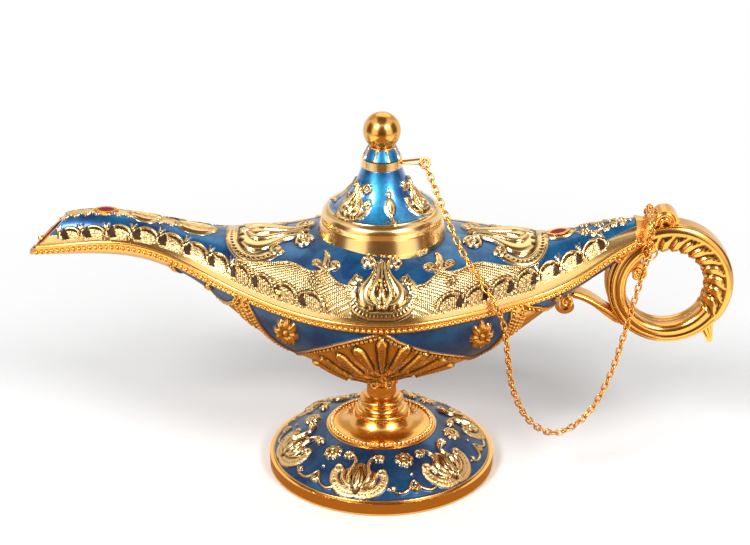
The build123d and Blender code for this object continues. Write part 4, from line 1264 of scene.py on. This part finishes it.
def make_card(name, place, width, height, shade, lying=False):
    """A card that only polished surfaces see, as a photographer stands round shiny metal."""
    mesh = rectangle(name, width, height)
    card = placed(name, mesh)
    card.location = place
    turn_to(card, (place[0], place[1], -1.0) if lying else light_aim)
    material, n = new_material(name)
    n.finish(n.add("ShaderNodeEmission", Color=shade, Strength=1.0))
    mesh.materials.append(material)
    card.visible_camera = card.visible_diffuse = card.visible_shadow = False


def plain(name, colour, rough, metallic, coat=0.0, specular=0.5):
    """A material of one colour."""
    material, n = new_material(name)
    n.finish(n.add("ShaderNodeBsdfPrincipled", Base_Color=colour, Roughness=rough, Metallic=metallic,
                   Coat_Weight=coat, Specular_IOR_Level=specular))
    return material


# The golds, the dark brown painted into their hollows as shade, and the pitch of the panels' hatching in
# metres
pale_gold = (0.90, 0.63, 0.29)
deep_gold = (0.82, 0.43, 0.11)
gold_rough = 0.22
hollow_shade_colour = (0.035, 0.010, 0.002)
hatch_pitch = 0.00125
# The enamels: deep and light colour, and where they differ share of metal, coat and its roughness
deck_enamels = ((0.003, 0.040, 0.15), (0.006, 0.16, 0.36))
hull_enamels = ((0.002, 0.026, 0.10), (0.003, 0.08, 0.19), 0.3, 0.12)
foot_enamels = ((0.002, 0.026, 0.10), (0.005, 0.085, 0.22))
lid_enamels = ((0.003, 0.08, 0.30), (0.03, 0.40, 0.72), 0.7, 1.0, 0.13)
# The plain looks of the slots that aren't gold: colour, roughness, metal, coat and gloss
slot_looks = {
    "blue_enamel": ((0.01, 0.05, 0.35), 0.15, 0.0, 0.6),
    "dark_enamel": ((0.005, 0.02, 0.10), 0.15, 0.0, 0.6),
    "red_stone": ((0.22, 0.001, 0.002), 0.45, 0.0, 0.0, 0.1),
    "steel": ((0.45, 0.45, 0.45), 0.35, 1.0),
}
# The gold pieces that are paler than the rest
pale_nodes = ("collar", "lid")


def relief_material(name, gold, enamel, light_enamel, metal_share=0.55, coat=0.35, coat_rough=0.06):
    """Gold and enamel side by side, told apart by what is stored on the relief."""
    material, n = new_material(name)
    cover, dark, grain, hatch = (n.attribute(k) for k in ("gold", "dark", "grain", "hatch"))
    place = n.add("ShaderNodeTexCoord", 3)
    speck = n.add("ShaderNodeTexNoise", 0, Vector=place, Scale=1400.0, Detail=2.0)
    cloud = n.add("ShaderNodeTexNoise", 0, Vector=place, Scale=60.0, Detail=3.0)
    bright = n.mix(n.math("MULTIPLY", cloud, 0.5), gold, tuple(0.8 * c for c in gold))
    # Painted shade: the gold turns dark brown where the relief's dark value marks hollows, pits and grooves
    shaded_gold = n.mix(n.math("MULTIPLY", dark, 0.92), bright, hollow_shade_colour)
    axes = n.tree.nodes.new("ShaderNodeSeparateXYZ")
    n.put(place, axes.inputs[0])
    turns = 2 * math.pi / hatch_pitch
    one, two = (n.math("SINE", n.math("MULTIPLY", n.math("ADD", axes.outputs[0], n.math(
        "MULTIPLY", axes.outputs[1], side)), turns)) for side in (0.8, -0.8))
    lines = n.math("MULTIPLY", n.math("MULTIPLY", one, two), hatch)
    height = n.math("MULTIPLY_ADD", lines, 0.8, n.math("MULTIPLY", speck, grain))
    hatched = n.math("MULTIPLY", n.math("MAXIMUM", lines, 0.0), 0.75)
    shaded_gold = n.mix(hatched, shaded_gold, tuple(0.35 * c for c in gold))
    bump = n.add("ShaderNodeBump", Strength=0.55, Distance=0.0004, Height=height)
    metal = n.add("ShaderNodeBsdfPrincipled", Base_Color=shaded_gold, Metallic=1.0,
                  Roughness=n.math("MULTIPLY_ADD", grain, 0.15, 0.2), Normal=bump)
    # Where the painted shade is deepest, the metal gives way to this dull dark brown
    hollow_shade_shader = n.add("ShaderNodeBsdfPrincipled", Base_Color=hollow_shade_colour, Metallic=0.0, Roughness=0.5,
                 Specular_IOR_Level=0.2)
    deep = n.add("ShaderNodeMapRange", 0, Value=dark, From_Min=0.45, From_Max=1.0, To_Max=0.95)
    metal = n.add("ShaderNodeMixShader", i0=deep, i1=metal, i2=hollow_shade_shader)
    wash = n.add("ShaderNodeTexNoise", 0, Vector=place, Scale=110.0, Detail=5.0, Roughness=0.65)
    share = n.add("ShaderNodeMapRange", 0, Value=wash, From_Min=0.38, From_Max=0.68)
    colour = n.mix(share, enamel, light_enamel)
    shaded = n.mix(n.math("MULTIPLY", dark, 0.5), colour, tuple(0.3 * c for c in enamel))
    wave = n.add("ShaderNodeBump", Strength=0.25, Distance=0.0006, Height=wash)
    glass = n.add("ShaderNodeBsdfPrincipled", Base_Color=shaded, Metallic=metal_share, Roughness=0.36,
                  Coat_Weight=coat, Coat_Roughness=coat_rough, Normal=wave)
    n.finish(n.add("ShaderNodeMixShader", i0=cover, i1=glass, i2=metal))
    return material


def dress(piece, material, body):
    """Turns a piece's faces outwards and gives it its material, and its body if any."""
    shape = bmesh.new()
    shape.from_mesh(piece.data)
    bmesh.ops.recalc_face_normals(shape, faces=shape.faces)
    shape.to_mesh(piece.data)
    shape.free()
    piece.data.materials.clear()
    piece.data.materials.append(material)
    if body:
        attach(piece, body)
    return piece


def new_piece(name, places, faces):
    """A smooth object from places in millimetres."""
    mesh = bpy.data.meshes.new(name)
    mesh.from_pydata([tuple(float(c) * mm for c in place) for place in places], [], faces)
    mesh.shade_smooth()
    return placed(name, mesh)


def frames_along(points, closed):
    """A direction and two cross directions at each point, carried along without twist."""
    points = np.asarray(points, float)
    if closed:
        ways = np.roll(points, -1, 0) - np.roll(points, 1, 0)
    else:
        ways = np.gradient(points, axis=0)
    ways = unit(ways)
    side = np.cross(ways[0], (0.31, 0.17, 0.94))
    sides = []
    for way in ways:
        side = unit(side - way * side.dot(way))
        sides.append(side)
    sides = np.array(sides)
    return ways, sides, np.cross(ways, sides)


def tube_faces(count, sides, closed):
    """The faces between rings of points, closed in a ring or capped at both ends."""
    faces = [[k * sides + j, k * sides + (j + 1) % sides,
              (k + 1) % count * sides + (j + 1) % sides, (k + 1) % count * sides + j]
             for k in range(count if closed else count - 1) for j in range(sides)]
    if not closed:
        faces += [list(range(sides))[::-1], [(count - 1) * sides + j for j in range(sides)]]
    return faces


def round_wire(points, radius, sides=8, closed=True):
    """The points and faces of a round wire along some points, closed in a ring or capped."""
    points = np.asarray(points, float)
    _, one, two = frames_along(points, closed)
    turn = np.arange(sides) * 2 * math.pi / sides
    radius = np.broadcast_to(radius, len(points))[:, None, None]
    places = points[:, None] + radius * (np.cos(turn)[None, :, None] * one[:, None]
                                         + np.sin(turn)[None, :, None] * two[:, None])
    return places.reshape(-1, 3), tube_faces(len(points), sides, closed)


class Heap:
    """Several closed forms gathered into one piece."""

    def __init__(self):
        self.places, self.faces, self.count = [], [], 0

    def add(self, places, faces):
        """Adds one closed form."""
        self.places.append(np.asarray(places, float))
        self.faces += [[k + self.count for k in face] for face in faces]
        self.count += len(places)

    def piece(self, name):
        """All that was added, as one object."""
        return new_piece(name, np.concatenate(self.places), self.faces)


# The chain, as in the CAD part, apart from its wire, which is a little thicker
link_length, link_width, link_wire = 3.4, 2.2, 0.62
link_turn = 45
chain_links = 81
loop_links = 24
loop_middle = (82.6, 0.0, 79.9)
loop_half_width, loop_half_height, loop_lean = 7.6, 8.4, 3.0
chain_route = [
    (0.0129, -0.0018, 0.1044), (0.0156, -0.0060, 0.0984), (0.0194, -0.0116, 0.0904),
    (0.0236, -0.0168, 0.0820), (0.0287, -0.0219, 0.0749), (0.0337, -0.0257, 0.0684),
    (0.0370, -0.0270, 0.0614), (0.0384, -0.0254, 0.0500), (0.0400, -0.0232, 0.0376),
    (0.0454, -0.0204, 0.0246), (0.0546, -0.0170, 0.0172), (0.0652, -0.0134, 0.0224),
    (0.0720, -0.0112, 0.0354), (0.0758, -0.0098, 0.0500), (0.0788, -0.0086, 0.0624),
    (0.0818, -0.0069, 0.0741),
]


def link_points(length, width, steps=7):
    """The middle line of a link's wire, long along X, in its own plane."""
    bend, run = width / 2, (length - width) / 2
    turn = np.linspace(-math.pi / 2, math.pi / 2, steps)
    one = np.stack([run + bend * np.cos(turn), bend * np.sin(turn), 0 * turn], -1)
    return np.concatenate([one, -one])


def curve_points(name, points):
    """The points of a smooth line with these control points, in millimetres."""
    curve = bpy.data.curves.new(name, "CURVE")
    curve.dimensions = "3D"
    curve.resolution_u = 24
    line = curve.splines.new("NURBS")
    line.points.add(len(points) - 1)
    for point, place in zip(line.points, points):
        point.co = (*place, 1.0)
    line.order_u = 3
    line.use_endpoint_u = True
    holder = bpy.data.objects.new(name, curve)
    mesh = bpy.data.meshes.new_from_object(holder)
    found = np.array([v.co[:] for v in mesh.vertices])
    bpy.data.objects.remove(holder)
    return found


def walk(points, closed=False):
    """A line's length, and a function that gives the place and direction at a distance."""
    points = np.asarray(points, float)
    if closed:
        points = np.concatenate([points, points[:1]])
    run = run_along(points)

    def place(distance):
        return np.array([np.interp(distance, run, column) for column in points.T])

    return run[-1], place


def add_links(heap, total, place, count, closed):
    """Links along a line, each turned a quarter turn from the last."""
    spots = [place((k + 0.5) * total / count) for k in range(count)]
    outline = link_points(link_length - link_wire, link_width - link_wire)
    _, one, two = frames_along(spots, closed)
    for k in range(count):
        before, after = place(k * total / count), place((k + 1) * total / count)
        way = unit(after - before)
        turn = math.radians(link_turn + 90 * (k % 2))
        side = math.cos(turn) * one[k] + math.sin(turn) * two[k]
        side = unit(side - way * side.dot(way))
        loop = spots[k] + outline[:, :1] * way + outline[:, 1:2] * side
        heap.add(*round_wire(loop, link_wire / 2, 7))


def make_chain(metal):
    """The chain from the lid to the handle, and the loop of chain round the handle's root."""
    line = curve_points("chain_line", chain_route)
    total, place = walk(line / mm)
    heap = Heap()
    add_links(heap, total, place, chain_links, False)
    chain = heap.piece("chain_links")
    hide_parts("chain")
    dress(chain, metal, None)
    tuple(place(0.97 * total) * mm)
    tuple(place(0.03 * total) * mm)
    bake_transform(chain)

    turn = np.radians(np.arange(0, 360, 6))
    lean = math.radians(loop_lean)
    ring = [np.array(loop_middle) + np.array((0, 1, 0)) * loop_half_width * math.cos(a)
            + np.array((math.sin(lean), 0, math.cos(lean))) * loop_half_height * math.sin(a) for a in turn]
    total, place = walk(ring, True)
    heap = Heap()
    add_links(heap, total, place, loop_links, True)
    loop = heap.piece("chain_loop_links")
    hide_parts("chain_loop")
    dress(loop, metal, "root")


# The rail and the beads along the seam
rail_radius = 0.8
rail_height = 0.62
rail_foot = -1.5
rail_step = 0.8
bead_radius = 0.76
bead_out, bead_drop = 0.25, 0.92
bead_pitch = 1.75
bead_backing = 0.22
rim_root = 0.45
rim_first = -107.2
rim_last = 78.9


def seam_frames(step):
    """Points along the seam at even steps, with the ways out from it and up along the surface."""
    x = np.linspace(rim_first, rim_last, 2000)
    line = np.stack([x, -beam_at(x), seam_at(x)], -1)
    run = run_along(line)
    count = int(run[-1] / step)
    at = np.interp(np.linspace(0, run[-1], count + 1), run, x)
    line = np.stack([at, -beam_at(at), seam_at(at)], -1)
    way = unit(np.gradient(line, axis=0))
    out = unit(np.stack([way[:, 1], -way[:, 0], 0 * at], -1))
    return line, out, np.cross(out, way)


def swept(line, out, up, profile):
    """A bar along a line, from a closed profile of (out, up) points."""
    profile = np.array(profile)
    places = line[:, None] + profile[None, :, :1] * out[:, None] + profile[None, :, 1:] * up[:, None]
    return places.reshape(-1, 3), tube_faces(*places.shape[:2], False)


def ball_mesh(middle, radius, rings=6, sides=9):
    """The points and faces of a small ball."""
    places = [(0, 0, 1)]
    for i in range(1, rings):
        polar = math.pi * i / rings
        flat = math.sin(polar)
        for j in range(sides):
            turn = 2 * math.pi * j / sides
            places.append((flat * math.cos(turn), flat * math.sin(turn), math.cos(polar)))
    places.append((0, 0, -1))
    faces = [[0, 1 + j, 1 + (j + 1) % sides] for j in range(sides)]
    for i in range(rings - 2):
        a = 1 + i * sides
        faces += [[a + j, a + sides + j, a + sides + (j + 1) % sides, a + (j + 1) % sides]
                  for j in range(sides)]
    a, last = 1 + (rings - 2) * sides, len(places) - 1
    faces += [[a + (j + 1) % sides, a + j, last] for j in range(sides)]
    return np.array(middle) + radius * np.array(places), faces


def make_rim(metal):
    """The rail over the seam and the row of beads under it, front and back."""
    turn = np.linspace(math.pi / 2, -math.pi / 2, 9)
    profile = [(-rim_root, rail_height + rail_radius)]
    profile += [(rail_radius * math.cos(a), rail_height + rail_radius * math.sin(a)) for a in turn]
    profile += [(bead_backing, rail_height - rail_radius), (bead_backing, rail_foot), (-rim_root, rail_foot)]
    for side, name in ((1, "front"), (-1, "back")):
        line, out, up = seam_frames(rail_step)
        heap = Heap()
        places, faces = swept(line, out, up, profile)
        places[:, 1] *= side
        heap.add(places, faces if side > 0 else [face[::-1] for face in faces])
        rail = heap.piece("rim_rail_" + name)
        dress(rail, metal, "root")
        line, out, up = seam_frames(bead_pitch)
        heap = Heap()
        for point, outward, upward in zip(line, out, up):
            middle = point + bead_out * outward - bead_drop * upward
            heap.add(*ball_mesh(middle * (1, side, 1), bead_radius))
        dress(heap.piece("rim_beads_" + name), metal, "root")
        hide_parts("rim_band_" + name)


make_camera()
make_world()
make_floor()
for lamp in lamps:
    make_lamp(*lamp)
for name, (x, y, z), *look in cards:
    for side, label in ((-1, "_left"), (1, "_right")) if x else ((1, ""),):
        make_card(name + label, (side * x, y, z), *look)

pale_metal = plain("pale_gold", pale_gold, gold_rough, 1.0)
deep_metal = plain("deep_gold", deep_gold, gold_rough, 1.0)
finishes = {"gold_plate": deep_metal, "gilt_wire": deep_metal}
for slot, look in slot_looks.items():
    finishes[slot] = plain(slot, *look)

make_chain(deep_metal)
make_rim(deep_metal)
draw_scrolls(deep_metal)
make_foot_beads(pale_metal)

deck_metal = relief_material("deck_relief", pale_gold, *deck_enamels)
hull_metal = relief_material("hull_relief", deep_gold, *hull_enamels)
deck, hull = draw_deck(), draw_hull()
for name, mirrored in (("front", False), ("back", True)):
    piece = dress(bored(mesh_of("deck_relief_" + name, deck, mirrored)), deck_metal, "root")
    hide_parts("deck_enamel", "palmette_" + name,
                *(["palmette_spout", "palmette_tail"] * (not mirrored)))
    piece = dress(mesh_of("hull_relief_" + name, hull, mirrored), hull_metal, "root")
    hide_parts("hull_enamel_spout", "hull_enamel_tail")

ring = draw_ring()
handle_metal = relief_material("handle_relief", deep_gold, deep_gold, deep_gold)
for name, mirrored in (("front", False), ("back", True)):
    dress(mesh_of("handle_relief_" + name, ring, mirrored), handle_metal, "root")
foot_metal = relief_material("foot_relief", pale_gold, *foot_enamels)
piece = dress(mesh_of("foot_relief", draw_foot()), foot_metal, "root")
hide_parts("foot_enamel")
lid_metal = relief_material("lid_relief", pale_gold, *lid_enamels)
piece = dress(mesh_of("lid_relief", draw_lid()), lid_metal, "lid")
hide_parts("lid_enamel")
piece = dress(mesh_of("neck_relief", draw_neck()), lid_metal, "lid")
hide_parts("neck_enamel")

for name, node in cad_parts.items():
    for material in node.material_slots:
        for slot, finish in finishes.items():
            if material.material and slot in material.material.name:
                material.material = pale_metal if name in pale_nodes else finish
                break

bpy.context.scene.view_settings.view_transform = "Standard"
